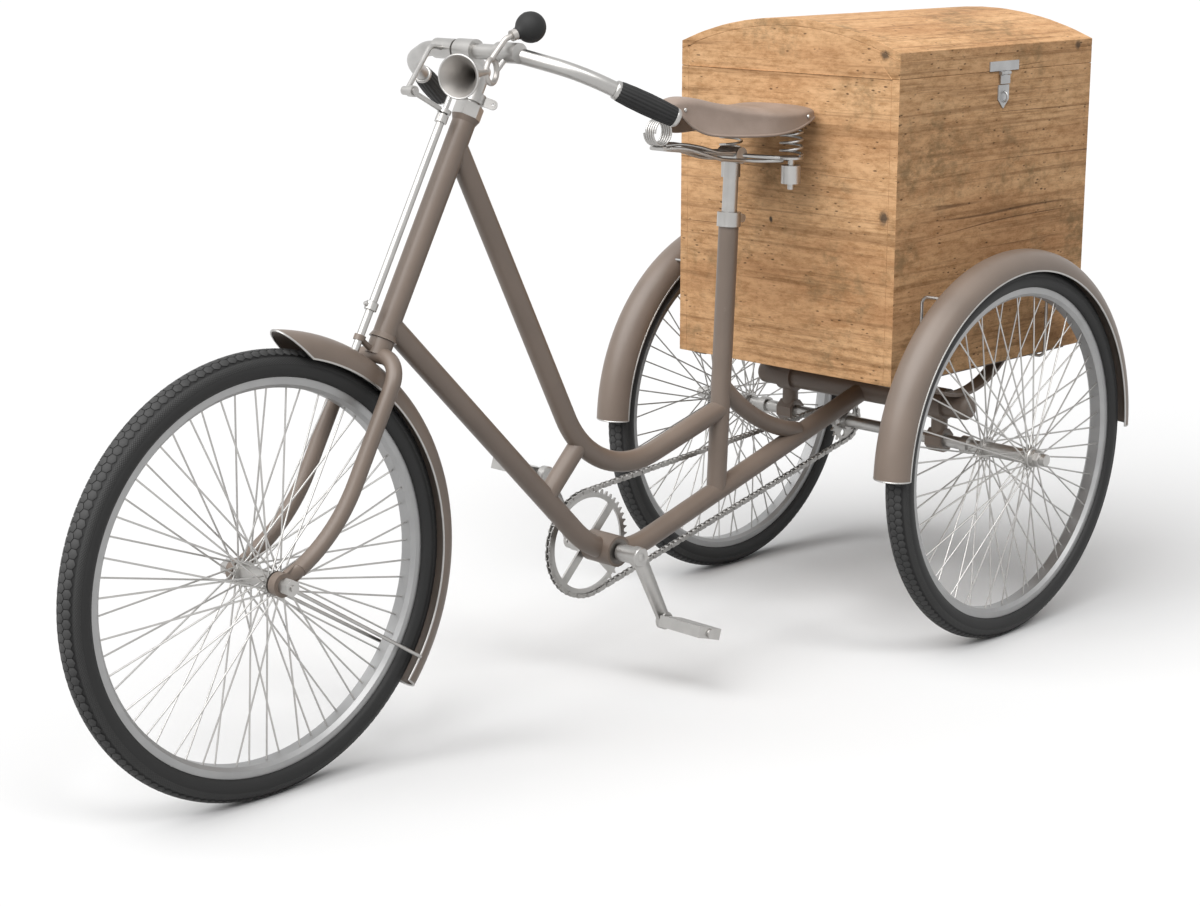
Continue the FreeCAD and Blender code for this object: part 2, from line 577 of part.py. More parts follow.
collar_top = seat_top + seat_up * d.seat_collar_height
collar = bar(seat_top, collar_top, d.seat_collar_radius)
sleeve = bar(seat_top - seat_up * d.sleeve_depth, seat_top, d.seat_radius - d.tube_wall)
ear_middle = seat_top + seat_up * (d.seat_collar_height / 2)
ear_middle -= Vector(d.seat_collar_radius + d.seat_ear_out, 0, 0)
ears = cross_bar(ear_middle, d.seat_ear_half, d.seat_ear_radius)
collar = collar.fuse([sleeve, ears]).removeSplitter()
feature("seat_clamp", collar.cut(bar(seat_top - seat_up * d.sleeve_depth, collar_top, d.post_radius + d.fit)))


# Handlebar, bent in the plane square to the steering axis

def bar_place(back, out):
    return head(d.bar_rise, d.bar_reach - back, out)


knee = bar_place(d.bar_knee_back, d.bar_knee_out)
bar_end = bar_place(d.bar_end_back, d.bar_end_out)
bar_points = [bar_end, knee, bar_place(d.bar_sweep_start, d.bar_flat)]
mirrored = [Vector(point.x, -point.y, point.z) for point in reversed(bar_points)]
bar_route = route(bar_points + mirrored, [d.knee_bend, d.bar_bend, d.bar_bend, d.knee_bend])
bar_solid = swept(bar_route, d.bar_radius)
feature("handlebar", bar_solid.cut(swept(bar_route, d.bar_radius - d.bar_wall)))

# Barrel grips, closed at the end
grip_way = (bar_end - knee).normalize()
grip_start = knee + grip_way * d.grip_start
slim = d.grip_radius - d.grip_swell
grip_outline = [Part.LineSegment(Vector(0, 0, 0), Vector(slim, 0, 0)).toShape(),
                Part.Arc(Vector(slim, 0, 0), Vector(d.grip_radius, 0, d.grip_length / 2),
                         Vector(slim, 0, d.grip_length)).toShape(),
                Part.LineSegment(Vector(slim, 0, d.grip_length), Vector(0, 0, d.grip_length)).toShape(),
                Part.LineSegment(Vector(0, 0, d.grip_length), Vector(0, 0, 0)).toShape()]
grip = Part.Face(Part.Wire(grip_outline)).revolve(Vector(), UP, 360)
grip.Placement = Placement(grip_start, Rotation(UP, grip_way))
grip = grip.cut(bar_solid)
feature("grips", Part.makeCompound(both(grip)))


# Fork: two blades bent from one tube, with a steerer, a race and eyes for the axle

front_axis = wheel_centres["front"]
crown = -d.head_length - d.crown_drop
left_eye = front_axis + LEFT * d.blade_place
right_eye = front_axis - LEFT * d.blade_place
blade_points = [left_eye, head(-d.rake_drop, 0, d.blade_place), head(crown, 0, d.blade_place),
                head(crown, 0, -d.blade_place), head(-d.rake_drop, 0, -d.blade_place), right_eye]
blade_route = route(blade_points, [d.rake_bend, d.blade_bend, d.blade_bend, d.rake_bend])
blades = swept(blade_route, d.blade_radius).cut(swept(blade_route, d.blade_radius - d.blade_wall))
steerer_top = d.gap + d.nut_height
steerer = bar(head(crown), head(steerer_top), d.steerer_radius)
race = bar(head(crown), head(-d.head_length - d.gap), d.race_radius)
eye = Part.makeCylinder(d.eye_radius, d.eye_outer - d.eye_inner, front_axis + LEFT * d.eye_inner, LEFT)
guide_start = head(-d.guide_top, d.rod_reach)
guide_end = head(-d.guide_top - d.guide_length, d.rod_reach)
rod_hole_start = head(d.guide_length - d.guide_top, d.rod_reach)
rod_hole_end = head(-d.guide_top - 2 * d.guide_length, d.rod_reach)
guide = bar(guide_start, guide_end, d.guide_radius)
guide_arm = bar(head(crown), head(-d.guide_top - d.guide_length / 2, d.rod_reach), d.guide_arm)
fork = blades.fuse([steerer, race, guide, guide_arm] + both(eye)).removeSplitter()
eye_face = front_axis + LEFT * d.eye_outer
beyond_eye = Part.makeCylinder(2 * d.eye_radius, 2 * d.blade_radius, eye_face, LEFT)
fork = fork.cut(both(beyond_eye) + [
                 bar(head(-d.head_length), head(steerer_top), d.steerer_bore),
                 bar(rod_hole_start, rod_hole_end, d.rod_radius + d.fit),
                 cross_bar(front_axis, d.eye_outer, d.front_axle_radius)])
feature("fork", fork)
nut = hexagon(head(d.gap), head_up, d.nut_across, d.nut_height)
feature("locknut", nut.cut(bar(head(d.gap), head(steerer_top), d.steerer_radius)))


# Gooseneck stem with the handlebar clamp and a socket for the top of the brake rod

column = bar(head(steerer_top), head(d.stem_top), d.steerer_radius)
dome = Part.makeSphere(d.steerer_radius, head(d.stem_top))
arm = bar(head(d.stem_top), bar_place(0, 0), d.stem_arm)
clamp = cross_bar(bar_place(0, 0), d.stem_clamp_half, d.stem_clamp)
quill = bar(head(steerer_top - d.quill), head(steerer_top), d.steerer_bore)
socket = bar(head(d.socket_foot, d.rod_reach), head(d.bar_rise, d.rod_reach), d.rod_guide)
stem = column.fuse([dome, arm, clamp, quill, socket]).removeSplitter()
socket_end = d.rod_top + d.brake_travel / 2
rod_hole = bar(head(d.socket_foot, d.rod_reach), head(socket_end, d.rod_reach), d.rod_thin + d.fit)
stem = stem.cut([bar_solid, rod_hole])
feature("handlebar_stem", stem)

# Lamp bracket: a strap round the stem with a drilled ear to the left and back
ear_way = (LEFT - head_forward).normalize()
ear_across = head_up.cross(ear_way).normalize()
ear_low = head(d.lamp_rise) - ear_across * (d.lamp_ear_thick / 2)
strap = bar(head(d.lamp_rise), head(d.lamp_rise + d.lamp_height), d.lamp_ring)
ear_far = ear_low + ear_way * d.lamp_ear
ear_rise = head_up * d.lamp_height
plate = prism([ear_low, ear_far, ear_far + ear_rise, ear_low + ear_rise], ear_across * d.lamp_ear_thick)
ear_centre = head(d.lamp_rise + d.lamp_height / 2) + ear_way * d.lamp_ear
ear_half = ear_across * (d.lamp_ear_thick / 2)
round_end = bar(ear_centre - ear_half, ear_centre + ear_half, d.lamp_height / 2)
lamp_bracket = strap.fuse([plate, round_end]).removeSplitter()
lamp_bracket = lamp_bracket.cut([bar(ear_centre - ear_half * 2, ear_centre + ear_half * 2, d.lamp_hole),
                                 bar(head(steerer_top), head(d.stem_top), d.steerer_radius)])
feature("lamp_bracket", lamp_bracket)


# Horn: a flared bell on a looped pipe that rises over the bar to a rubber bulb

horn_angle = math.radians(d.horn_turn)
horn_way = Vector(math.cos(horn_angle), math.sin(horn_angle), 0)
mouth = head(d.horn_rise, d.horn_reach, d.horn_out)
throat = mouth - horn_way * d.horn_length
loop_centre = throat - horn_way * d.horn_loop


def bell_radius(share):
    """The bell opens slowly at first and then flares."""
    return d.horn_throat + (d.horn_mouth - d.horn_throat) * share ** d.horn_flare


bell_shares = [i / BELL_STEPS for i in range(BELL_STEPS + 1)]
outside = Part.BSplineCurve()
outside.interpolate([Vector(bell_radius(share), 0, d.horn_length * share) for share in bell_shares])
inside = Part.BSplineCurve()
inside.interpolate([Vector(bell_radius(share) - d.horn_wall, 0, d.horn_length * share)
                    for share in reversed(bell_shares)])
bell_edges = [outside.toShape(),
              Part.LineSegment(outside.EndPoint, inside.StartPoint).toShape(),
              inside.toShape(),
              Part.LineSegment(inside.EndPoint, outside.StartPoint).toShape()]
bell = Part.Face(Part.Wire(bell_edges)).revolve(Vector(), UP, 360)
bell.Placement = Placement(throat, Rotation(UP, horn_way))
loop = Part.makeTorus(d.horn_loop, d.horn_pipe, loop_centre, horn_way.cross(UP))
bulb_centre = head(d.bulb_rise, d.bulb_reach, d.bulb_out)
pipe_start = loop_centre + UP * d.horn_loop
pipe_out = (d.horn_clamp_out + d.bulb_out) / 2
pipe_corner = head(d.bar_rise + d.bar_radius, d.bar_reach + 2 * d.bar_radius, pipe_out)
pipe_way = (bulb_centre - pipe_corner).normalize()
pipe_end = bulb_centre - pipe_way * (d.bulb_radius - d.bulb_sink)
horn_pipe = bent_bar([pipe_start, pipe_corner, pipe_end], [d.horn_loop], d.horn_pipe)
ferrule = bar(pipe_end - pipe_way * d.ferrule_length, pipe_end, 2 * d.horn_pipe)
bulb = Part.makeSphere(d.bulb_radius, bulb_centre)
trumpet = bell.fuse([loop, horn_pipe, ferrule]).removeSplitter()
feature("horn_trumpet", trumpet.cut(bulb))
feature("horn_bulb", bulb)


# Clamps on the bar: the horn's, and the brake's with its bent bracket and pivot pin

lever_rise = d.rod_shoulder + d.collar_length / 2 + d.lever_slack + d.lever_radius
pivot = head(lever_rise, d.rod_reach + d.lever_arm)
clamp_radius = d.bar_radius + d.clamp_wall
horn_clamp = cross_bar(bar_place(0, d.horn_clamp_out), d.clamp_half, clamp_radius)
horn_arm = bar(bar_place(0, d.horn_clamp_out), loop_centre - horn_way * d.horn_loop, d.horn_pipe)
horn_clamp = horn_clamp.fuse(horn_arm).removeSplitter().cut([bar_solid, trumpet])
brake_clamp = cross_bar(bar_place(0, -d.brake_clamp_out), d.clamp_half, clamp_radius)
boss_far = pivot - LEFT * (d.lever_half + d.boss_length)
boss_near = pivot - LEFT * (d.lever_half + d.gap)
boss = bar(boss_far, boss_near, d.lever_eye - 2)
bracket = bent_bar([bar_place(0, -d.brake_clamp_out), head(d.bracket_rise, d.bracket_reach, -d.bracket_out),
                    along(boss_far, boss_near, 0.5)], [d.horn_loop], d.lever_radius)
pin_end = pivot + LEFT * (d.lever_half + d.gap)
pin = bar(boss_far, pin_end, d.pivot_radius)
pin_head = bar(pin_end, pin_end + LEFT * d.pin_head, d.lever_eye - d.pin_head)
brake_clamp = brake_clamp.fuse([bracket, boss, pin, pin_head]).removeSplitter().cut(bar_solid)
feature("bar_clamps", Part.makeCompound([horn_clamp, brake_clamp]))


# Front mudguard with a hole for the brake rod, its stays, and the axle that they share

def on_ring(angle, radius):
    """A place round the front axle, at an angle from straight ahead."""
    turn = math.radians(angle)
    return front_axis + Vector(radius * math.cos(turn), 0, radius * math.sin(turn))


rod_line = bar(head(-d.guide_top, d.rod_reach), head(-d.guide_top - 2 * d.guard_section, d.rod_reach),
               d.rod_guide)
crown_end = on_ring(d.front_guard_start, d.guard_ring + d.guard_section)
wall_end = on_ring(d.front_wall_start, d.guard_ring)
lean = crown_end - wall_end
ahead = Vector(d.guard_ring, 0, 0)
half_depth = LEFT * d.guard_ring
low_corner = wall_end - lean - half_depth
high_corner = crown_end + lean - half_depth
ahead_of_tip = prism([low_corner, high_corner, high_corner + ahead, low_corner + ahead], half_depth * 2)
front_guard = guard(front_axis, d.front_guard_start, d.front_guard_end).cut([rod_line, ahead_of_tip])
feature("front_mudguard", front_guard)
wire_angle = math.radians(d.front_wire_angle)
wire_way = Vector(math.cos(wire_angle), 0, math.sin(wire_angle))
wire_side = d.eye_outer + d.wire_radius
wire_points = [front_axis + LEFT * wire_side, front_axis + LEFT * wire_side + wire_way * d.wire_run,
               front_axis + LEFT * d.guard_section + wire_way * d.guard_ring]
wire = bent_bar(wire_points, [d.wire_run], d.wire_radius)
wire_eye = Part.makeCylinder(d.front_nut_across / 2, 2 * d.wire_radius, front_axis + LEFT * d.eye_outer, LEFT)
wire = wire.fuse(wire_eye).removeSplitter()
wire = wire.cut([front_guard, cross_bar(front_axis, 2 * d.eye_outer, d.front_axle_radius)])
feature("front_guard_stays", Part.makeCompound(both(wire)))

nut_start = d.eye_outer + 2 * d.wire_radius
axle_end = nut_start + d.front_nut_height + d.axle_end
front_axle = cross_bar(front_axis, axle_end, d.front_axle_radius)
axle_nut = hexagon(front_axis + LEFT * nut_start, LEFT, d.front_nut_across, d.front_nut_height)
axle_nut = axle_nut.cut(front_axle)
feature("front_axle", Part.makeCompound([front_axle] + both(axle_nut)))


# Brake rod with its collar and shoe, and the lever that pushes it down

shoe_low = d.tyre_radius + d.brake_travel + d.shoe_clear
shoe_ring = cross_bar(front_axis, d.shoe_half, shoe_low + d.shoe_thick)
shoe_ring = shoe_ring.cut(cross_bar(front_axis, d.shoe_half, shoe_low))
offset = front_axis - head(0, d.rod_reach)
rod_drop = -offset.dot(head_up)
rod_miss = offset.dot(head_forward)
shoe_drop = rod_drop - math.sqrt((shoe_low + d.shoe_thick / 2) ** 2 - rod_miss ** 2)
shoe_middle = head(-shoe_drop, d.rod_reach)
shoe_box = Part.makeBox(d.shoe_length, 2 * d.shoe_half, 6 * d.shoe_thick)
shoe_corner = shoe_middle - LEFT * d.shoe_half
shoe_corner -= head_forward * (d.shoe_length / 2) + head_up * (3 * d.shoe_thick)
shoe_box.Placement = Placement(shoe_corner, Rotation(head_forward, LEFT, head_up, "ZXY"))
shoe = shoe_ring.common(shoe_box)
rod = bar(shoe_middle, head(d.rod_shoulder, d.rod_reach), d.rod_radius)
thin_rod = bar(head(d.rod_shoulder, d.rod_reach), head(d.rod_top, d.rod_reach), d.rod_thin)
half_collar = d.collar_length / 2
collar_foot = head(d.rod_shoulder - half_collar, d.rod_reach)
collar_head = head(d.rod_shoulder + half_collar, d.rod_reach)
rod_collar = bar(collar_foot, collar_head, d.rod_collar)
feature("brake_rod", rod.fuse([thin_rod, rod_collar, shoe]).removeSplitter())

lever_ring = d.rod_thin + d.lever_ring_gap
ring_low = head(lever_rise - d.lever_ring_half, d.rod_reach)
ring_high = head(lever_rise + d.lever_ring_half, d.rod_reach)
pivot_above = head(lever_rise + 2 * d.lever_radius, d.rod_reach)
pivot_below = head(lever_rise - 2 * d.lever_radius, d.rod_reach)
lever = bar(pivot, head(lever_rise, d.rod_reach), d.lever_radius)
lever = lever.fuse([cross_bar(pivot, d.lever_half, d.lever_eye),
                    bar(ring_low, ring_high, lever_ring + d.lever_ring_wall)])
lever = lever.removeSplitter().cut([cross_bar(pivot, d.lever_half, d.pivot_radius + d.fit),
                                    bar(pivot_above, pivot_below, lever_ring)])
feature("brake_lever", lever)


# Chain drive

def pitch_radius(teeth):
    return d.pitch / 2 / math.sin(math.pi / teeth)


def toothed_disc(teeth, centre):
    """A disc with pointed teeth, as thick as the chain allows."""
    root = pitch_radius(teeth) - d.roller_radius
    tip = pitch_radius(teeth) + d.tooth_height
    step = 2 * math.pi / teeth
    points = []
    for i in range(int(teeth)):
        corners = ((root, -d.tooth_root), (tip, -d.tooth_tip), (tip, d.tooth_tip), (root, d.tooth_root))
        for radius, turn in corners:
            angle = (i + turn) * step
            corner = Vector(radius * math.cos(angle), -d.tooth_thick / 2, radius * math.sin(angle))
            points.append(centre + corner)
    return prism(points, LEFT * d.tooth_thick)


ring_centre = pedal_axis - LEFT * d.chain_line
sprocket_centre = axle_middle - LEFT * d.chain_line

ring_hollow = pitch_radius(d.ring_teeth) - d.roller_radius - d.ring_band
chainring = toothed_disc(d.ring_teeth, ring_centre).cut(cross_bar(ring_centre, d.tooth_thick, ring_hollow))
arms = []
for i in range(2):
    arm_box = Part.makeBox(2 * ring_hollow + d.ring_band, d.tooth_thick, d.spider_width,
                           Vector(-ring_hollow - d.ring_band / 2, -d.tooth_thick / 2, -d.spider_width / 2))
    arm_box.Placement = Placement(ring_centre, Rotation(LEFT, 45 + 90 * i))
    arms.append(arm_box)
boss_start = pedal_axis - LEFT * (d.shell_half + d.gap)
ring_boss = bar(boss_start, pedal_axis - LEFT * d.crank_inner, d.spider_boss)
chainring = chainring.fuse(arms + [ring_boss]).removeSplitter()
feature("chainring", chainring.cut(cross_bar(pedal_axis, d.crank_inner, d.spindle_radius)))

sprocket = toothed_disc(d.sprocket_teeth, sprocket_centre)
sprocket_boss = cross_bar(sprocket_centre, 3 * d.tooth_thick, d.collar_radius)
holes = []
for i in range(int(d.sprocket_holes)):
    angle = 2 * math.pi * i / d.sprocket_holes
    spot = Vector(d.sprocket_hole_ring * math.cos(angle), 0, d.sprocket_hole_ring * math.sin(angle))
    holes.append(cross_bar(sprocket_centre + spot, d.tooth_thick, d.sprocket_hole))
sprocket = sprocket.cut(holes).fuse(sprocket_boss).removeSplitter()
feature("sprocket", sprocket.cut(cross_bar(sprocket_centre, 4 * d.tooth_thick, d.axle_radius)))


def chain_loop(offset):
    """A line round both toothed wheels, at an offset from where the links pivot."""
    front_ring = pitch_radius(d.ring_teeth) + offset
    rear_ring = pitch_radius(d.sprocket_teeth) + offset
    reach = sprocket_centre - ring_centre
    lean = (front_ring - rear_ring) / reach.Length
    back = Vector(reach).normalize()
    rise = LEFT.cross(back)
    upper = back * lean + rise * math.sqrt(1 - lean ** 2)
    lower = back * lean - rise * math.sqrt(1 - lean ** 2)
    return Part.Wire([
        Part.LineSegment(ring_centre + upper * front_ring, sprocket_centre + upper * rear_ring).toShape(),
        Part.Arc(sprocket_centre + upper * rear_ring, sprocket_centre + back * rear_ring,
                 sprocket_centre + lower * rear_ring).toShape(),
        Part.LineSegment(sprocket_centre + lower * rear_ring, ring_centre + lower * front_ring).toShape(),
        Part.Arc(ring_centre + lower * front_ring, ring_centre - back * front_ring,
                 ring_centre + upper * front_ring).toShape(),
    ])


side_band = Part.Face(chain_loop(d.chain_height / 2)).extrude(LEFT * d.chain_plate)
side_band = side_band.cut(Part.Face(chain_loop(-d.chain_height / 2)).extrude(LEFT * d.chain_plate))
near = d.tooth_thick / 2 + d.chain_gap
feature("chain", Part.makeCompound([side_band.translated(LEFT * near),
                                    side_band.translated(-LEFT * (near + d.chain_plate))]))


# Cranks on their spindle, opposite each other, with the axles that the pedals turn on

crank_turn = math.radians(d.crank_angle)
crank_reach = Vector(math.cos(crank_turn), 0, math.sin(crank_turn)) * d.crank_length
crank_across = Vector(-math.sin(crank_turn), 0, math.cos(crank_turn)) * (d.crank_width / 2)
pedal_end = d.pedal_start + d.pedal_length + d.gap


def crank(side, reach):
    """One crank: two round bosses, a flat arm between them, and the pedal's axle."""
    near_face = pedal_axis + LEFT * (side * d.crank_inner)
    depth = LEFT * (side * d.crank_thick)
    eye = near_face + reach
    arm = prism([near_face - crank_across, near_face + crank_across,
                 eye + crank_across, eye - crank_across], depth)
    outer = pedal_axis + reach + LEFT * (side * pedal_end)
    return [arm, bar(near_face, near_face + depth, d.crank_boss), bar(eye, eye + depth, d.crank_boss),
            bar(eye, outer, d.pedal_axle),
            bar(outer, outer + LEFT * (side * d.pedal_cap), d.pedal_cap_radius)]


spindle = cross_bar(pedal_axis, d.crank_inner + d.crank_thick, d.spindle_radius)
spacer = bar(pedal_axis + LEFT * (d.shell_half + d.gap), pedal_axis + LEFT * d.crank_inner, d.crank_boss)
cranks = spindle.fuse([spacer] + crank(1, crank_reach) + crank(-1, -crank_reach)).removeSplitter()
feature("cranks", cranks)

for label, side, corner_y in (("left_pedal", "+", "dim.pedal_start"),
                              ("right_pedal", "-", "-dim.pedal_start - dim.pedal_length")):
    swing = side + " dim.crank_length * %s(dim.crank_angle * 1deg)"
    middle_x = REAR_X + " + dim.pedal_axis_x " + swing % "cos"
    middle_z = AXLE_Z + " - dim.pedal_axis_drop " + swing % "sin"
    corner = (middle_x + " - dim.pedal_width / 2", corner_y, middle_z + " - dim.pedal_height / 2")
    block = primitive("Box", label + "_block", corner, Length="dim.pedal_width", Width="dim.pedal_length",
                      Height="dim.pedal_height")
    hole = primitive("Cylinder", label + "_hole", (middle_x, corner_y, middle_z), ALONG_Y,
                     Radius="dim.pedal_axle + dim.fit", Height="dim.pedal_length")
    pedal = boolean("Cut", label, block, hole)
    reach = crank_reach if side == "+" else -crank_reach
    pedal.Placement = Placement(Vector(), Rotation(LEFT, -d.pedal_tilt), pedal_axis + reach)
    node(pedal, label)


# Chest: floor, two end boards and two side boards

BACK_X = REAR_X + " - dim.chest_back"
LENGTH = "(dim.chest_back + dim.chest_front)"
FOOT_Z = AXLE_Z + " + dim.chest_foot"
HEIGHT = "(dim.chest_seam - dim.chest_foot)"
CHEST_HALF = "(dim.track / 2 - dim.guard_section - dim.chest_guard_gap)"
INNER_Y = "-%s + dim.board" % CHEST_HALF
INNER_WIDTH = "2 * (%s - dim.board)" % CHEST_HALF
floor = primitive("Box", "chest_floor", (BACK_X + " + dim.board", INNER_Y, FOOT_Z),
                  Length=LENGTH + " - 2 * dim.board", Width=INNER_WIDTH, Height="dim.board")
node(floor, "chest_floor")
back_end = primitive("Box", "chest_back_end", (BACK_X, INNER_Y, FOOT_Z),
                     Length="dim.board", Width=INNER_WIDTH, Height=HEIGHT)
front_end = primitive("Box", "chest_front_end", (REAR_X + " + dim.chest_front - dim.board", INNER_Y, FOOT_Z),
                      Length="dim.board", Width=INNER_WIDTH, Height=HEIGHT)
node(compound("chest_ends", [back_end, front_end]), "chest_ends")
side_places = (("chest_left_side", CHEST_HALF + " - dim.board"), ("chest_right_side", "-" + CHEST_HALF))
for label, corner_y in side_places:
    side_board = primitive("Box", label, (BACK_X, corner_y, FOOT_Z), Length=LENGTH, Width="dim.board",
                           Height=HEIGHT)
    node(side_board, label)


# Lid: a band of four boards under a vault of bent boards

LID_Z = AXLE_Z + " + dim.chest_seam + dim.gap"
VAULT_RING = "(%s ^ 2 + dim.lid_rise ^ 2) / (2 * dim.lid_rise)" % CHEST_HALF
CROWN_Z = LID_Z + " + dim.lid_band + dim.lid_rise"
ALONG_X = Rotation(UP, Vector(1, 0, 0))
vault_axis = (BACK_X, "0", CROWN_Z + " - " + VAULT_RING)
vault_outside = primitive("Cylinder", "vault_outside", vault_axis, ALONG_X, Radius=VAULT_RING, Height=LENGTH)
vault_inside = primitive("Cylinder", "vault_inside", vault_axis, ALONG_X,
                         Radius=VAULT_RING + " - dim.lid_board", Height=LENGTH)
vault_space = primitive("Box", "vault_space", (BACK_X, "-" + CHEST_HALF, LID_Z), Length=LENGTH,
                        Width="2 * " + CHEST_HALF, Height="dim.lid_band + dim.lid_rise + dim.board")
vault_ring = boolean("Cut", "vault_ring", vault_outside, vault_inside)
node(boolean("Common", "lid_vault", vault_space, vault_ring), "lid_vault")
BAND = "dim.lid_band + dim.lid_rise"
band_boards = [
    primitive("Box", "band_left", (BACK_X, CHEST_HALF + " - dim.board", LID_Z),
              Length=LENGTH, Width="dim.board", Height=BAND),
    primitive("Box", "band_right", (BACK_X, "-" + CHEST_HALF, LID_Z),
              Length=LENGTH, Width="dim.board", Height=BAND),
    primitive("Box", "band_back", (BACK_X, INNER_Y, LID_Z),
              Length="dim.board", Width=INNER_WIDTH, Height=BAND),
    primitive("Box", "band_front", (REAR_X + " + dim.chest_front - dim.board", INNER_Y, LID_Z),
              Length="dim.board", Width=INNER_WIDTH, Height=BAND),
]
trimmed = []
for board in band_boards:
    trimmed.append(boolean("Common", board.Name + "_trimmed", board, vault_inside))
node(compound("lid_band", trimmed), "lid_band")
doc.recompute()


# Hinges on the right side: the pin and middle knuckle stay with the chest

def iron_box(start_x, end_x, start_y, end_y, start_z, end_z):
    """A flat piece of iron between two corners given from the rear axle."""
    return Part.makeBox(end_x - start_x, end_y - start_y, end_z - start_z, at(start_x, start_y, start_z))


hinge_y = -(d.chest_half + d.gap + d.hinge_radius)
hinge_z = d.chest_seam + d.gap / 2
leaf_y = -(d.chest_half + d.leaf_thick)
leaf_clear = d.hinge_radius + 1
third = d.hinge_length / 6
lower_hinges = []
upper_hinges = []
chest_middle = (d.chest_front - d.chest_back) / 2
for middle in (chest_middle - d.hinge_place, chest_middle + d.hinge_place):
    half = d.hinge_length / 2
    axis_start = at(middle - half, hinge_y, hinge_z)
    axis_end = at(middle + half, hinge_y, hinge_z)
    knuckle_start = at(middle - third, hinge_y, hinge_z)
    knuckle_end = at(middle + third, hinge_y, hinge_z)
    lower = iron_box(middle - half, middle + half, leaf_y, -d.chest_half,
                     hinge_z - d.leaf_height, hinge_z - leaf_clear)
    tongue = iron_box(middle - third, middle + third, leaf_y, -d.chest_half, hinge_z - leaf_clear, hinge_z)
    lower = lower.fuse([tongue, bar(knuckle_start, knuckle_end, d.hinge_radius),
                        bar(axis_start, axis_end, d.hinge_pin)])
    lower_hinges.append(lower.removeSplitter())
    upper = iron_box(middle - half, middle + half, leaf_y, -d.chest_half,
                     hinge_z + leaf_clear, hinge_z + d.leaf_height)
    wings = []
    for start_x, end_x in ((middle - half, middle - third - d.gap), (middle + third + d.gap, middle + half)):
        wing = iron_box(start_x, end_x, leaf_y, -d.chest_half, d.chest_seam + d.gap, hinge_z + leaf_clear)
        wings += [wing, bar(at(start_x, hinge_y, hinge_z), at(end_x, hinge_y, hinge_z), d.hinge_radius)]
    upper = upper.fuse(wings).removeSplitter()
    upper_hinges.append(upper.cut(bar(axis_start, axis_end, d.hinge_pin + d.fit)))

# Staple on the left side: a pointed plate with a ring that stands out from it
plate_y = d.chest_half
hasp_z = d.chest_seam - d.hasp_knuckle
staple_top = hasp_z - d.hasp_drop - 2
staple_half = d.staple_width / 2
staple_outline = [at(d.hasp_x - staple_half, plate_y, staple_top),
                  at(d.hasp_x + staple_half, plate_y, staple_top),
                  at(d.hasp_x + staple_half, plate_y, staple_top - d.staple_height + staple_half),
                  at(d.hasp_x, plate_y, staple_top - d.staple_height),
                  at(d.hasp_x - staple_half, plate_y, staple_top - d.staple_height + staple_half)]
staple_plate = prism(staple_outline, LEFT * d.leaf_thick)
ring_middle = at(d.hasp_x, plate_y + d.leaf_thick, staple_top - d.staple_height / 2)
staple_ring = Part.makeTorus(d.staple_ring, d.staple_wire, ring_middle, Vector(1, 0, 0))
ring_reach = 2 * (d.staple_ring + d.staple_wire)
inside_wood = Part.makeBox(2 * ring_reach, 2 * ring_reach, 2 * ring_reach,
                           ring_middle - Vector(ring_reach, 2 * ring_reach + d.leaf_thick, ring_reach))
staple = staple_plate.fuse(staple_ring.cut(inside_wood)).removeSplitter()
feature("chest_ironwork", Part.makeCompound(lower_hinges + [staple]))

# Hasp: a bar on the lid with two knuckles and a pin, and the strap that hangs from it
hasp_y = d.chest_half + d.gap + d.hasp_knuckle
strap_half = d.hasp_width / 2
strap_knuckle = d.hasp_width / 5
bar_low = d.chest_seam + d.gap
hasp_bar = iron_box(d.hasp_x - d.hasp_bar / 2, d.hasp_x + d.hasp_bar / 2, plate_y, plate_y + d.leaf_thick,
                    bar_low, bar_low + d.hasp_bar_height)
pin_start = at(d.hasp_x - strap_half, hasp_y, hasp_z)
pin_end = at(d.hasp_x + strap_half, hasp_y, hasp_z)
pieces = [bar(pin_start, pin_end, d.hasp_pin)]
for start_x, end_x in ((-strap_half, -strap_knuckle - d.gap), (strap_knuckle + d.gap, strap_half)):
    start_x += d.hasp_x
    end_x += d.hasp_x
    pieces.append(bar(at(start_x, hasp_y, hasp_z), at(end_x, hasp_y, hasp_z), d.hasp_knuckle))
    pieces.append(iron_box(start_x, end_x, plate_y + d.gap, plate_y + d.leaf_thick, hasp_z, bar_low))
lid_hasp = hasp_bar.fuse(pieces).removeSplitter()
feature("lid_ironwork", Part.makeCompound(upper_hinges + [lid_hasp]))
strap_y = hasp_y - d.hasp_thick / 2
neck_low = hasp_z - d.hasp_knuckle - d.gap
strap = iron_box(d.hasp_x - strap_half, d.hasp_x + strap_half, strap_y, strap_y + d.hasp_thick,
                 hasp_z - d.hasp_drop, neck_low)
neck = iron_box(d.hasp_x - strap_knuckle, d.hasp_x + strap_knuckle, strap_y, strap_y + d.hasp_thick,
                neck_low, hasp_z)
strap_roll = bar(at(d.hasp_x - strap_knuckle, hasp_y, hasp_z), at(d.hasp_x + strap_knuckle, hasp_y, hasp_z),
                 d.hasp_knuckle)
strap = strap.fuse([neck, strap_roll]).removeSplitter()
pin_hole = bar(at(d.hasp_x - strap_half, hasp_y, hasp_z), at(d.hasp_x + strap_half, hasp_y, hasp_z),
               d.hasp_pin + d.fit)
feature("hasp_strap", strap.cut(pin_hole))


# Saddle chassis: two wires from a cross bar under the nose through the clamp to the rear spring seats

def on_seat_line(height):
    """The place on the seat post's line at a height above the axle."""
    return at_height(seat_foot, seat_top, height)


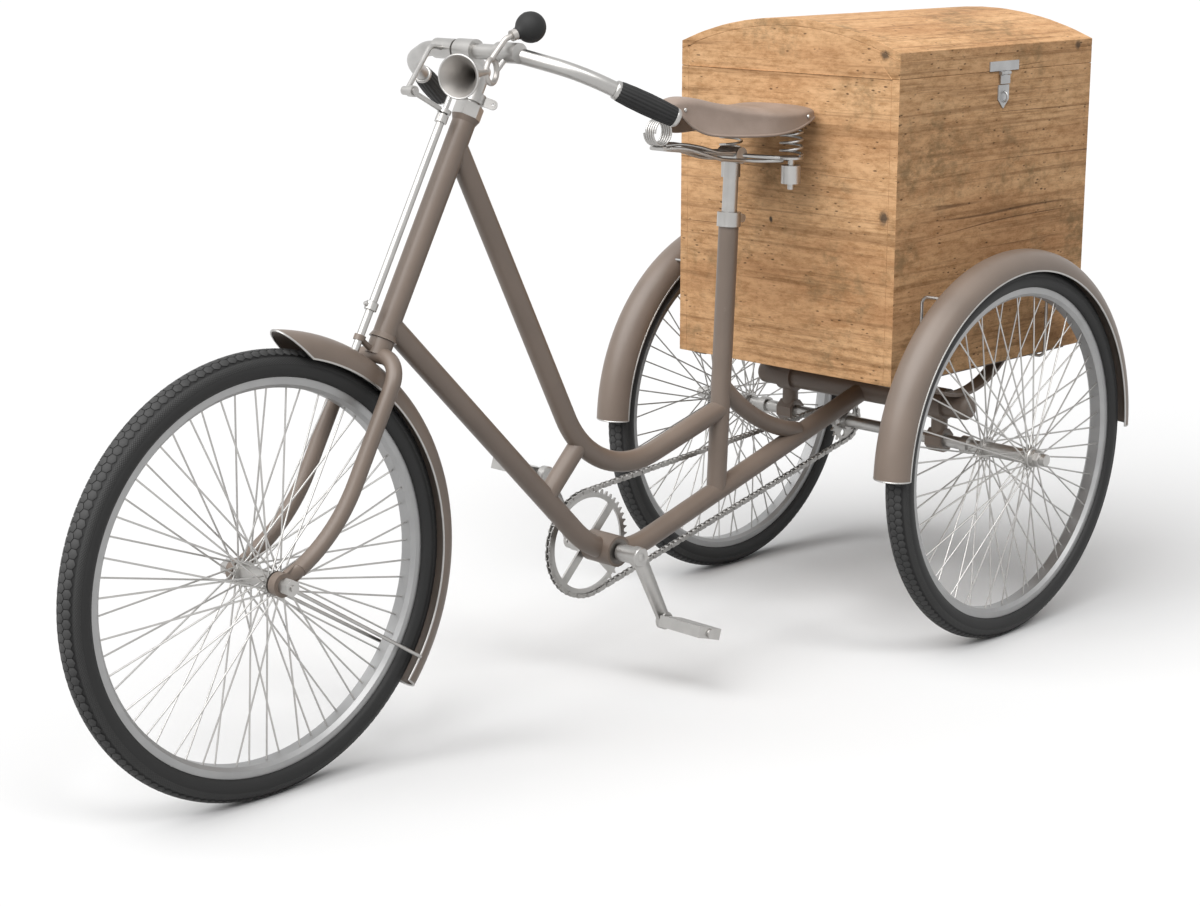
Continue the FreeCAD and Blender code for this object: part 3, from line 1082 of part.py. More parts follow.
nose_bar_z = d.nose_height - d.nose_coil - d.spring_wire - d.saddle_wire - d.spring_seat_gap
clamp_centre = on_seat_line(d.clamp_height)
wire_near = d.clamp_half - 2 * d.saddle_wire
plate_top = d.coil_foot - d.spring_wire - d.spring_seat_gap
plate_low = plate_top - d.saddle_wire
nose_end = at(d.nose_x, d.nose_span / 2, nose_bar_z)
rear_end = at(d.coil_x, d.coil_out, plate_low)
chassis_corner = clamp_centre + LEFT * wire_near
chassis_wire = bent_bar([nose_end, chassis_corner, rear_end], [d.chassis_bend], d.saddle_wire)
spring_plate = bar(at(d.coil_x, d.coil_out, plate_low), at(d.coil_x, d.coil_out, plate_top),
                   d.coil_radius + d.spring_wire)
cup = bar(at(d.coil_x, d.coil_out, d.cup_foot), at(d.coil_x, d.coil_out, d.cup_top), d.cup_radius)
stud = bar(at(d.coil_x, d.coil_out, d.stud_foot), at(d.coil_x, d.coil_out, plate_top), d.stud_radius)
nose_bar = cross_bar(at(d.nose_x, 0, nose_bar_z), d.nose_span / 2 + d.saddle_wire, d.saddle_wire)
side_pieces = []
for piece in (chassis_wire, spring_plate, cup, stud):
    side_pieces += both(piece)
chassis = nose_bar.fuse(side_pieces).removeSplitter()
feature("saddle_chassis", chassis)

post_start = on_seat_line(d.post_foot)
post_end = on_seat_line(d.clamp_height)
post = bar(post_start, post_end, d.post_radius)
clamp_barrel = cross_bar(clamp_centre, d.clamp_half, d.clamp_barrel)
feature("seat_post", post.fuse(clamp_barrel).removeSplitter().cut(chassis))


# Saddle springs: each is one wire wound in arcs of a quarter turn

def tangent_arc(start, way, end):
    """The arc that leaves a place in a direction and ends at another place."""
    chord = end - start
    lean = way.getAngle(chord)
    side = (way - chord * (way.dot(chord) / chord.dot(chord))).normalize()
    middle = start + chord * 0.5 + side * (chord.Length / 2 * math.tan(lean / 2))
    return Part.Arc(start, middle, end).toShape()


def coil_route(centre, axis, across, radius, length, turns):
    """A helix along an axis from its centre's side, made of pairs of arcs for each quarter turn."""
    other = axis.cross(across)
    steps = int(4 * turns)

    def place(i):
        angle = math.pi / 2 * i
        return (centre + axis * (length * (i / steps - 0.5))
                + across * (radius * math.cos(angle)) + other * (radius * math.sin(angle)))

    def heading(i):
        angle = math.pi / 2 * i
        rise = length / steps / (math.pi / 2)
        turning = other * (radius * math.cos(angle)) - across * (radius * math.sin(angle))
        return (axis * rise + turning).normalize()

    edges = []
    for i in range(steps):
        start, end = place(i), place(i + 1)
        first, last = heading(i), heading(i + 1)
        gap = end - start
        total = gap.dot(first + last)
        spread = 2 * (1 - first.dot(last))
        reach = (math.sqrt(total ** 2 + spread * gap.dot(gap)) - total) / spread
        joint = (start + first * reach + end - last * reach) * 0.5
        edges.append(tangent_arc(start, first, joint))
        edges.append(tangent_arc(joint, ((end - last * reach) - joint).normalize(), end))
    return Part.Wire(edges)


def least_gap(path, wire, turn_length):
    """The least space between one stretch of a coil and the next, measured on points."""
    points = path.discretize(Number=COIL_POINTS)
    step = path.Length / (COIL_POINTS - 1)
    away = int(turn_length / 2 / step)
    pairs = [(i, j) for i in range(COIL_POINTS) for j in range(i + away, COIL_POINTS)]
    least = min((points[i] - points[j]).Length for i, j in pairs)
    return least - 2 * wire


nose_place = at(d.nose_x, 0, d.nose_height)
nose_route = coil_route(nose_place, LEFT, Vector(0, 0, -1), d.nose_coil, d.nose_span, d.nose_turns)
rear_height = (d.coil_foot + d.coil_top) / 2
rear_route = coil_route(at(d.coil_x, d.coil_out, rear_height), UP, Vector(-1, 0, 0), d.coil_radius,
                        d.coil_top - d.coil_foot, d.coil_turns)
print("nose spring's least gap", round(least_gap(nose_route, d.spring_wire, 2 * math.pi * d.nose_coil), 2))
print("rear spring's least gap", round(least_gap(rear_route, d.spring_wire, 2 * math.pi * d.coil_radius), 2))
springs = [swept(nose_route, d.spring_wire)] + both(swept(rear_route, d.spring_wire))
feature("saddle_springs", Part.makeCompound(springs))


# Leather top: a loft through cross sections, each a flat underside, two sides and a crowned top

def saddle_section(x, half, low, side, top):
    left_low, right_low = at(x, half, low), at(x, -half, low)
    left_side, right_side = at(x, half, side), at(x, -half, side)
    return Part.Wire([Part.LineSegment(right_low, left_low).toShape(),
                      Part.LineSegment(left_low, left_side).toShape(),
                      Part.Arc(left_side, at(x, 0, top), right_side).toShape(),
                      Part.LineSegment(right_side, right_low).toShape()])


saddle_low = d.coil_top + d.spring_wire + d.leather_gap
nose_low = d.nose_height + d.nose_coil + d.spring_wire + d.nose_gap
saddle_length = d.leather_nose_x - d.leather_rear_x
saddle_stations = (
    # shares of the length from the rear, the half width, the underside's rise, the depth at side and crown
    (0.0, 0.63, 0.1, 0.43, 0.74),
    (0.12, 0.98, 0.0, 0.57, 0.96),
    (0.32, 1.0, 0.0, 0.57, 1.0),
    (0.52, 0.61, 0.22, 0.52, 0.96),
    (0.74, 0.34, 0.64, 0.43, 0.83),
    (0.92, 0.27, 0.95, 0.39, 0.7),
    (1.0, 0.15, 1.1, 0.2, 0.43),
)
sections = []
for share, half, rise, side, crown_share in saddle_stations:
    low = saddle_low + rise * (nose_low - saddle_low)
    sections.append(saddle_section(d.leather_rear_x + share * saddle_length, half * d.saddle_half, low,
                                   low + side * d.saddle_depth, low + crown_share * d.saddle_depth))
feature("saddle_leather", Part.makeLoft(sections, True, False))


# Check every object, then write each sub-part

doc.recompute()
for thing in doc.Objects:
    if "Invalid" in thing.State or "Error" in thing.State:
        raise ValueError("%s failed" % thing.Label)
os.makedirs("parts", exist_ok=True)
for thing in nodes:
    if thing.Shape.isNull() or not thing.Shape.isValid():
        raise ValueError("%s has no valid shape" % thing.Label)
for thing in nodes:
    thing.Shape.exportStep("parts/%s.step" % thing.Label)
print(len(nodes), "sub-parts written")
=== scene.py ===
"""A cargo tricycle: its surfaces, leather saddle and small fittings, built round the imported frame."""
import json
import math

import bmesh
import bpy
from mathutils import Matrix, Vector


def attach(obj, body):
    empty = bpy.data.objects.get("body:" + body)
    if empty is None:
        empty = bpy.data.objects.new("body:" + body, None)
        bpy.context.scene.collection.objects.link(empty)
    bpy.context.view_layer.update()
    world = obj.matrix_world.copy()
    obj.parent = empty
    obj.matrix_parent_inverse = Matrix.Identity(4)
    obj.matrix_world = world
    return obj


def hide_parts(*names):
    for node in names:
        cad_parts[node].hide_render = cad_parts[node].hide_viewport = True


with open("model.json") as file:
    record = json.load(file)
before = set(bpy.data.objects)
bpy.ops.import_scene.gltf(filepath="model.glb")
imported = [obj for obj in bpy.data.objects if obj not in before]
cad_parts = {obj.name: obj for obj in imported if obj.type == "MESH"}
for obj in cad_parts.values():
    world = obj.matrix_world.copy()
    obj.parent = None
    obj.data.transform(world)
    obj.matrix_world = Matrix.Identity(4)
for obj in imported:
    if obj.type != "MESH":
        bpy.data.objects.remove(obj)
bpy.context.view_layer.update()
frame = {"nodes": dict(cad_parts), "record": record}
nodes = frame["nodes"]
scene = bpy.context.scene


# Node trees

class Shader:
    """A material with one surface shader, and short ways to add nodes to it."""

    def __init__(self, name, **sockets):
        self.material = bpy.data.materials.new(name)
        self.material.use_nodes = True
        self.tree = self.material.node_tree
        self.surface = self.tree.nodes["Principled BSDF"]
        for socket, value in sockets.items():
            self.surface.inputs[socket.replace("_", " ")].default_value = value
        coordinates = self.tree.nodes.new("ShaderNodeTexCoord")
        self.place = coordinates.outputs["Object"]

    def add(self, kind, inputs, **settings):
        node = self.tree.nodes.new("ShaderNode" + kind)
        for setting, value in settings.items():
            setattr(node, setting, value)
        for socket, value in inputs.items():
            self.connect(value, node.inputs[socket])
        return node

    def connect(self, value, socket):
        if isinstance(value, bpy.types.NodeSocket):
            self.tree.links.new(value, socket)
        else:
            socket.default_value = value

    def mapped(self, scale, place=None, turn=(0, 0, 0)):
        source = self.place if place is None else place
        node = self.add("Mapping", {"Vector": source, "Scale": scale, "Rotation": turn})
        return node.outputs["Vector"]

    def noise(self, scale, detail=4, place=None, rough=0.5, twist=0.0):
        source = self.place if place is None else place
        inputs = {"Vector": source, "Scale": scale, "Detail": detail, "Roughness": rough,
                  "Distortion": twist}
        return self.add("TexNoise", inputs).outputs["Fac"]

    def ramp(self, value, stops):
        node = self.add("ValToRGB", {"Fac": value})
        elements = node.color_ramp.elements
        while len(elements) < len(stops):
            elements.new(0.5)
        for element, (position, colour) in zip(elements, stops):
            element.position = position
            element.color = (*colour, 1)
        return node.outputs["Color"]

    def grey(self, value, low, high):
        """A mask that rises from 0 to 1 between two levels of a value."""
        inputs = {"Value": value, "From Min": low, "From Max": high}
        return self.add("MapRange", inputs, interpolation_type="SMOOTHSTEP").outputs["Result"]

    def span(self, value, low, high):
        """A value between 0 and 1 spread over a range."""
        inputs = {"Value": value, "To Min": low, "To Max": high}
        return self.add("MapRange", inputs).outputs["Result"]

    def math(self, operation, first, second=0.0):
        return self.add("Math", {0: first, 1: second}, operation=operation).outputs[0]

    def mix(self, share, first, second, blend="MIX"):
        node = self.add("Mix", {"Factor": share}, data_type="RGBA", blend_type=blend)
        for socket, value in ((node.inputs[6], first), (node.inputs[7], second)):
            self.connect((*value, 1) if isinstance(value, tuple) else value, socket)
        return node.outputs[2]

    def bump(self, height, strength, distance):
        inputs = {"Height": height, "Strength": strength, "Distance": distance}
        normal = self.add("Bump", inputs).outputs["Normal"]
        self.connect(normal, self.surface.inputs["Normal"])

    def colour(self, value):
        self.connect(value, self.surface.inputs["Base Color"])

    def rough(self, value):
        self.connect(value, self.surface.inputs["Roughness"])


# Forms

def sides_of(way):
    """Two directions square to a way and to each other."""
    helper = Vector((0, 0, 1)) if abs(way.z) < 0.9 else Vector((1, 0, 0))
    across = way.cross(helper).normalized()
    return across, way.cross(across).normalized()


def swung(first, second, angle):
    """The direction at an angle from a first direction towards a second one, square to it."""
    return first * math.cos(angle) + second * math.sin(angle)


class Form:
    """A mesh put together from turned, swept and plain pieces, in metres."""

    def __init__(self):
        self.points = []
        self.faces = []

    def grid(self, rows, close_rows=False, close_columns=False):
        """Rows of points, each joined to the next by four-sided faces."""
        start = len(self.points)
        deep = len(rows)
        wide = len(rows[0])
        for row in rows:
            self.points.extend(row)
        for i in range(deep if close_rows else deep - 1):
            for j in range(wide if close_columns else wide - 1):
                here = start + i * wide
                after = start + (i + 1) % deep * wide
                beside = (j + 1) % wide
                self.faces.append((here + j, here + beside, after + beside, after + j))
        return start

    def cap(self, first, count):
        self.faces.append(tuple(range(first, first + count)))

    def turned(self, start, way, profile, sides=32, flutes=0, depth=0.0):
        """A profile of (distance, radius) pairs turned round an axis, with flutes if a count is given."""
        across, other = sides_of(way)
        rows = []
        for distance, radius in profile:
            row = []
            for i in range(sides):
                angle = 2 * math.pi * i / sides
                reach = radius - depth * (0.5 - 0.5 * math.cos(flutes * angle))
                row.append(start + way * distance + swung(across, other, angle) * reach)
            rows.append(row)
        first = self.grid(rows, close_columns=True)
        self.cap(first, sides)
        self.cap(first + (len(rows) - 1) * sides, sides)

    def tube(self, route, radius, sides=10, closed=False):
        """A round wire along a route of points."""
        count = len(route)
        rows = []
        across = None
        for i, point in enumerate(route):
            before = route[i - 1] if closed or i > 0 else point
            after = route[(i + 1) % count] if closed or i < count - 1 else point
            way = (after - before).normalized()
            if across is None:
                across = sides_of(way)[0]
            across = (across - way * across.dot(way)).normalized()
            other = way.cross(across)
            row = []
            for j in range(sides):
                angle = 2 * math.pi * j / sides
                row.append(point + swung(across, other, angle) * radius)
            rows.append(row)
        first = self.grid(rows, close_rows=closed, close_columns=True)
        if not closed:
            self.cap(first, sides)
            self.cap(first + (count - 1) * sides, sides)

    def slab(self, outline, depth):
        """A flat outline of points pushed along a depth."""
        first = self.grid([outline, [point + depth for point in outline]], close_columns=True)
        self.cap(first, len(outline))
        self.cap(first + len(outline), len(outline))

    def mesh(self, name, material, sharp=40):
        mesh = bpy.data.meshes.new(name)
        mesh.from_pydata(self.points, [], self.faces)
        solid = bmesh.new()
        solid.from_mesh(mesh)
        bmesh.ops.recalc_face_normals(solid, faces=solid.faces)
        solid.to_mesh(mesh)
        solid.free()
        mesh.materials.append(material)
        mesh.shade_smooth()
        mesh.set_sharp_from_angle(angle=math.radians(sharp))
        return mesh


def show(name, mesh, body, slot, *replaced, place=(0, 0, 0)):
    """Show a mesh as a piece of a body, in place of any CAD nodes named."""
    piece = bpy.data.objects.new(name, mesh)
    piece.location = place
    scene.collection.objects.link(piece)
    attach(piece, body)
    if replaced:
        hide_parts(*replaced)
    return piece


AXLE_BACK = 733.5
AXLE_HEIGHT = 358.0


def millimetres(x, y, z):
    """A point given from the rear axle's middle, in millimetres."""
    return Vector((x - AXLE_BACK, y, z + AXLE_HEIGHT)) / 1000


HEAD_TOP = Vector((0.32, 0, 1.036))
HEAD_UP = Vector((-0.477159, 0, 0.878817))
HEAD_AHEAD = Vector((0.878817, 0, 0.477159))
LEFT = Vector((0, 1, 0))


def head(rise, reach, out=0.0):
    """A point given from the top of the head tube, up it, ahead of it and to the left, in millimetres."""
    return HEAD_TOP + (HEAD_UP * rise + HEAD_AHEAD * reach + LEFT * out) / 1000


# Materials

# Radius of the middle of a tyre's section round its wheel
RING = 0.332


def plain_metal(name, colour, rough_low, rough_high, cloud):
    """Plated metal with a faint cloud of wear in its gloss and colour."""
    shader = Shader(name, Metallic=1.0)
    patches = shader.noise(26, 6)
    fine = shader.noise(420, 3)
    darker = tuple(part * cloud for part in colour)
    shader.colour(shader.mix(shader.grey(patches, 0.3, 0.75), darker, colour))
    shader.rough(shader.span(patches, rough_low, rough_high))
    shader.bump(fine, 0.04, 0.0004)
    return shader.material


def paint_material():
    """Satin taupe paint, a little dusty and rubbed."""
    shader = Shader("frame_paint", Metallic=0.0, Coat_Weight=0.18, Coat_Roughness=0.35)
    clouds = shader.noise(9, 6)
    grain = shader.noise(160, 4)
    base = shader.mix(shader.grey(clouds, 0.3, 0.7), (0.168, 0.129, 0.103), (0.196, 0.151, 0.121))
    scuffs = shader.grey(shader.noise(55, 8, rough=0.7), 0.66, 0.78)
    shader.colour(shader.mix(shader.math("MULTIPLY", scuffs, 0.35), base, (0.27, 0.215, 0.178)))
    shader.rough(shader.span(clouds, 0.38, 0.55))
    shader.bump(grain, 0.05, 0.0006)
    return shader.material


def rubber_material(name, colour, dust):
    """Black rubber with a trace of pale dust and a matte grain."""
    shader = Shader(name, Specular_IOR_Level=0.35)
    clouds = shader.noise(14, 7)
    grain = shader.noise(900, 2)
    shader.colour(shader.mix(shader.grey(clouds, 0.35, 0.8), colour, dust))
    shader.rough(shader.span(clouds, 0.55, 0.75))
    shader.bump(grain, 0.18, 0.0005)
    return shader.material


def tyre_material():
    """Carcass rubber: a dark smooth wall, a paler ribbed band beside the tread, and painted shade on the
    crown under the scales, near black so the gaps between the scales read as dark grooves.
    """
    shader = Shader("tyre_carcass", Specular_IOR_Level=0.35)
    parts = shader.add("SeparateXYZ", {"Vector": shader.place}).outputs
    around = shader.math("ARCTAN2", parts["X"], parts["Z"])
    reach = shader.math("SQRT", shader.math("ADD", shader.math("MULTIPLY", parts["X"], parts["X"]),
                                            shader.math("MULTIPLY", parts["Z"], parts["Z"])))
    offside = shader.math("ABSOLUTE", parts["Y"])
    beyond = shader.math("SUBTRACT", reach, RING)
    across = shader.math("ARCTAN2", offside, beyond)
    band = shader.math("MULTIPLY", shader.grey(across, 0.9, 0.93),
                       shader.math("SUBTRACT", 1.0, shader.grey(across, 1.35, 1.38)))
    ribs = shader.math("SINE", shader.math("MULTIPLY", around, 420.0))
    lines = shader.math("SINE", shader.math("MULTIPLY", across, 46.0))
    knurl = shader.math("MULTIPLY", shader.math("MULTIPLY", ribs, lines), band)
    clouds = shader.noise(14, 6)
    wall = shader.mix(shader.grey(clouds, 0.35, 0.8), (0.016, 0.016, 0.016), (0.022, 0.022, 0.022))
    dust = shader.mix(shader.grey(knurl, -0.4, 0.6), (0.022, 0.022, 0.022), (0.036, 0.036, 0.0355))
    # Painted shade: the crown under the scales is near black, so the gaps between the scales show as dark
    # grooves
    crown = shader.math("SUBTRACT", 1.0, shader.grey(across, 0.84, 0.88))
    shader.colour(shader.mix(crown, shader.mix(band, wall, dust), (0.004, 0.004, 0.004)))
    shader.rough(shader.span(clouds, 0.5, 0.68))
    shader.bump(knurl, 0.5, 0.0006)
    return shader.material


def wood_material(name, turn, seed, knots):
    """Weathered pine with its grain along X once turned, and dark knots at given places."""
    shader = Shader(name, Specular_IOR_Level=0.2)
    turned = shader.mapped((1, 1, 1), turn=turn)
    offset = (seed * 1.7, seed * 0.9, seed * 0.4)
    moved = shader.add("Mapping", {"Vector": turned, "Location": offset}).outputs["Vector"]
    broad = shader.noise(1.0, 4, shader.mapped((1.6, 11, 11), moved), 0.6, 0.4)
    streaks = shader.noise(1.0, 6, shader.mapped((2.4, 95, 95), moved), 0.62, 0.25)
    fibre = shader.noise(1.0, 4, shader.mapped((26, 620, 620), moved), 0.6)
    base = shader.ramp(broad, [(0.28, (0.5, 0.27, 0.13)), (0.45, (0.65, 0.382, 0.196)),
                               (0.6, (0.73, 0.45, 0.24)), (0.78, (0.79, 0.495, 0.27))])
    dark = shader.math("MULTIPLY", shader.grey(streaks, 0.5, 0.66), 0.62)
    streaked = shader.mix(dark, base, (0.3, 0.16, 0.072))
    thread = shader.math("MULTIPLY", shader.grey(fibre, 0.5, 0.75), 0.35)
    threaded = shader.mix(thread, streaked, (0.33, 0.185, 0.088))
    cloud = shader.noise(5.5, 9, moved, 0.68)
    mottle = shader.noise(1.0, 6, shader.mapped((38, 70, 70), moved), 0.72)
    worn = shader.noise(1.0, 9, shader.mapped((30, 85, 85), moved), 0.82)
    rubbed = shader.mix(shader.grey(worn, 0.4, 0.66), threaded, (0.66, 0.6, 0.52), "MULTIPLY")
    stain = shader.math("MULTIPLY", shader.grey(cloud, 0.5, 0.64), shader.grey(mottle, 0.36, 0.62))
    stained = shader.mix(shader.math("MULTIPLY", stain, 0.68), rubbed, (0.2, 0.135, 0.066))
    dirt = shader.grey(shader.noise(1.0, 5, shader.mapped((70, 150, 150), moved), 0.7), 0.6, 0.74)
    dirtied = shader.mix(shader.math("MULTIPLY", dirt, 0.5), stained, (0.15, 0.085, 0.04))
    specks = shader.add("TexVoronoi", {"Vector": shader.mapped((46, 120, 120), moved), "Scale": 1.0})
    ragged = shader.math("ADD", specks.outputs["Distance"], shader.span(mottle, -0.25, 0.25))
    speck = shader.math("SUBTRACT", 1.0, shader.grey(ragged, 0.05, 0.24))
    kept = shader.grey(shader.noise(17, 4, moved), 0.5, 0.57)
    speck = shader.math("MULTIPLY", speck, kept)
    specked = shader.mix(shader.math("MULTIPLY", speck, 0.85), dirtied, (0.05, 0.027, 0.013))
    seam = shader.noise(1.0, 2, shader.mapped((0.45, 8.5, 8.5), moved), 0.5)
    crack = shader.math("ABSOLUTE", shader.math("SUBTRACT", seam, 0.5))
    crack = shader.math("SUBTRACT", 1.0, shader.grey(crack, 0.0, 0.005))
    crack = shader.math("MULTIPLY", crack, shader.grey(shader.noise(3.2, 4, moved), 0.47, 0.6))
    colour = shader.mix(shader.math("MULTIPLY", crack, 0.75), specked, (0.075, 0.038, 0.017))
    for place, stretch, strength in knots:
        gap = shader.add("VectorMath", {0: shader.place, 1: place}, operation="SUBTRACT").outputs["Vector"]
        gap = shader.mapped(stretch, gap)
        reach = shader.add("VectorMath", {0: gap}, operation="LENGTH").outputs["Value"]
        ragged = shader.math("ADD", reach, shader.math("MULTIPLY", shader.noise(130, 4), 0.9))
        knot = shader.math("SUBTRACT", 1.0, shader.grey(ragged, 0.8, 1.5))
        colour = shader.mix(shader.math("MULTIPLY", knot, strength), colour, (0.045, 0.035, 0.028))
    shader.colour(colour)
    shader.rough(shader.span(mottle, 0.6, 0.85))
    raised = shader.math("ADD", streaks, fibre)
    height = shader.math("SUBTRACT", raised, shader.math("MULTIPLY", speck, 1.3))
    shader.bump(shader.math("SUBTRACT", height, crack), 0.25, 0.0012)
    return shader.material


def leather_material():
    """Worn taupe leather with a fine pebble and darker worn patches."""
    shader = Shader("saddle_leather", Specular_IOR_Level=0.4)
    clouds = shader.noise(17, 6)
    pebble = shader.add("TexVoronoi", {"Vector": shader.place, "Scale": 620.0})
    base = shader.mix(shader.grey(clouds, 0.32, 0.72), (0.26, 0.2, 0.163), (0.33, 0.256, 0.214))
    worn = shader.grey(shader.noise(70, 5), 0.62, 0.8)
    shader.colour(shader.mix(shader.math("MULTIPLY", worn, 0.3), base, (0.2, 0.145, 0.116)))
    shader.rough(shader.span(clouds, 0.42, 0.6))
    shader.bump(pebble.outputs["Distance"], 0.12, 0.0006)
    return shader.material


paint = paint_material()
nickel = plain_metal("bright_steel", (0.47, 0.46, 0.445), 0.3, 0.42, 0.88)
horn_metal = plain_metal("horn_metal", (0.44, 0.42, 0.4), 0.42, 0.52, 0.9)
rim_metal = plain_metal("rim_metal", (0.36, 0.36, 0.36), 0.4, 0.52, 0.9)
wire = plain_metal("spoke_steel", (0.5, 0.49, 0.475), 0.3, 0.42, 0.9)
chain_steel = plain_metal("chain_steel", (0.42, 0.41, 0.395), 0.32, 0.44, 0.85)
zinc = plain_metal("hasp_iron", (0.45, 0.45, 0.45), 0.38, 0.6, 0.8)
bearing_steel = plain_metal("bearing_steel", (0.2, 0.185, 0.17), 0.4, 0.55, 0.85)
tyre_side = tyre_material()
tyre_tread = rubber_material("tyre_tread", (0.035, 0.035, 0.035), (0.058, 0.0575, 0.057))
black_rubber = rubber_material("black_rubber", (0.012, 0.012, 0.012), (0.025, 0.025, 0.025))
# Each knot: place, narrowness along the three axes, strength
wood_along = wood_material("old_pine_along", (0, 0, 0), 1.0, [
    ((-1.0378, 0.2623, 1.1019), (90, 90, 90), 0.8)])
wood_across = wood_material("old_pine_across", (0, 0, math.pi / 2), 2.0, [
    ((-0.4781, 0.236, 0.8183), (60, 75, 60), 0.85), ((-0.4781, -0.031, 0.7906), (190, 190, 120), 0.95),
    ((-0.4781, 0.2276, 1.1082), (90, 90, 90), 0.8)])
leather = leather_material()

by_slot = {
    "frame_paint": paint, "dark_iron": paint, "bright_steel": nickel, "rim_metal": rim_metal,
    "spoke_steel": wire, "chain_steel": chain_steel, "hasp_iron": zinc, "bearing_steel": bearing_steel,
    "tyre": tyre_side, "black_rubber": black_rubber, "old_pine": wood_along, "saddle_leather": leather,
}
for part in frame["record"]["subparts"]:
    shown = nodes[part["node"]]
    shown.data.materials.clear()
    shown.data.materials.append(by_slot[part["material_slot"]])
nodes["horn_trumpet"].data.materials[0] = horn_metal


# Tyres: a smooth carcass with rows of six-sided scales on its crown

SECTION = 0.026
WHEELS = {
    "front": ("front_wheel", Vector((0.7625, 0, 0.358))),
    "right": ("rear_axle", Vector((-0.7335, -0.348, 0.358))),
    "left": ("left_wheel", Vector((-0.7335, 0.348, 0.358))),
}


def on_tyre(around, across, section):
    """A point of the tyre by its angle round the wheel and its angle across the section."""
    reach = RING + section * math.cos(across)
    return Vector((reach * math.cos(around), section * math.sin(across), reach * math.sin(around)))


def carcass_mesh():
    steps = 240
    # Each point: degrees across the section, and its reach from the section's middle
    section = [(-126, 0.0256), (-112, 0.0257), (-97, 0.0257), (-82, 0.0257), (-79, 0.0250), (-76, 0.0257),
               (-65, 0.0257), (-54, 0.0257), (-50, 0.0246), (-38, 0.0246), (-19, 0.0246), (0, 0.0246)]
    section += [(-across, reach) for across, reach in reversed(section[:-1])]
    form = Form()
    rows = []
    for i in range(steps):
        around = 2 * math.pi * i / steps
        rows.append([on_tyre(around, math.radians(across), reach) for across, reach in section])
    form.grid(rows, close_rows=True, close_columns=True)
    return form.mesh("tyre_carcass", tyre_side, 70)


def scales_mesh():
    per_row = 150
    row_gap = 0.0128
    side = 0.0079
    half = math.pi / per_row * 0.925
    # Each ring of a scale: its share of the outline, and its reach from the section's middle
    scale_rings = ((1.0, 0.0243), (0.985, 0.02565), (0.93, 0.02588))
    form = Form()
    for row in (-1, 0, 1):
        for i in range(per_row):
            middle = 2 * math.pi * (i + 0.5 * (row % 2)) / per_row
            centre = row * row_gap
            corners = ((0, side), (half, side / 2), (half, -side / 2), (0, -side), (-half, -side / 2),
                       (-half, side / 2))
            count = len(corners)
            rings = []
            for share, reach in scale_rings:
                rings.append([on_tyre(middle + turn * share, (centre + shift * share) / SECTION, reach)
                              for turn, shift in corners])
            first = form.grid(rings, close_columns=True)
            form.points.append(on_tyre(middle, centre / SECTION, SECTION))
            top = first + 2 * count
            for j in range(count):
                form.faces.append((top + j, top + (j + 1) % count, len(form.points) - 1))
    return form.mesh("tyre_scales", tyre_tread, 50)


carcass = carcass_mesh()
scales = scales_mesh()
for wheel, (body, middle) in WHEELS.items():
    show(wheel + "_tyre_carcass", carcass, body, "tyre", wheel + "_tyre", place=middle)
    show(wheel + "_tyre_tread", scales, body, "tyre", place=middle)


# Mudguard beads: a bright rolled edge round each guard

GUARD_RING = 0.3495
GUARD_HALF = 0.036


def guard_point(centre, around, across):
    reach = GUARD_RING + GUARD_HALF * math.cos(across)
    out = GUARD_HALF * math.sin(across)
    return centre + Vector((reach * math.cos(around), out, reach * math.sin(around)))


def slanted_end(across, low, crown):
    """The angle round the wheel where a slanted end crosses the guard at an angle across it."""
    first = Vector((math.cos(low), math.sin(low))) * GUARD_RING
    last = Vector((math.cos(crown), math.sin(crown))) * (GUARD_RING + GUARD_HALF)
    normal = Vector((last.y - first.y, first.x - last.x)).normalized()
    offset = normal.dot(first)
    if offset < 0:
        normal = -normal
        offset = -offset
    lean = math.acos(min(1.0, offset / (GUARD_RING + GUARD_HALF * math.cos(across))))
    middle = math.atan2(normal.y, normal.x)

    def turn_from_low(angle):
        return abs(math.remainder(angle - low, 2 * math.pi))

    return min(middle + lean, middle - lean, key=turn_from_low)


def guard_bead(name, body, centre, start_low, start_crown, end):
    """A bead along both edges of a guard and round both its ends."""
    low = math.radians(start_low)
    last = math.radians(end)
    steps = 90
    end_steps = 24
    bead_radius = 0.0019
    route = []
    for i in range(steps + 1):
        route.append(guard_point(centre, last + (low - last) * i / steps, math.pi / 2))
    for i in range(1, end_steps):
        across = math.pi / 2 - math.pi * i / end_steps
        tip = low if start_low == start_crown else slanted_end(across, low, math.radians(start_crown))
        route.append(guard_point(centre, tip, across))
    for i in range(steps + 1):
        route.append(guard_point(centre, low + (last - low) * i / steps, -math.pi / 2))
    for i in range(1, end_steps):
        route.append(guard_point(centre, last, -math.pi / 2 + math.pi * i / end_steps))
    form = Form()
    form.tube(route, bead_radius, 8, closed=True)
    show(name, form.mesh(name, nickel), body, "bright_steel")


guard_bead("front_guard_bead", "steering", WHEELS["front"][1], 105, 97, 220)
guard_bead("right_guard_bead", "frame", WHEELS["right"][1], 2, 2, 180)
guard_bead("left_guard_bead", "frame", WHEELS["left"][1], 2, 2, 180)


# Grips: fluted rubber barrels between bright collars

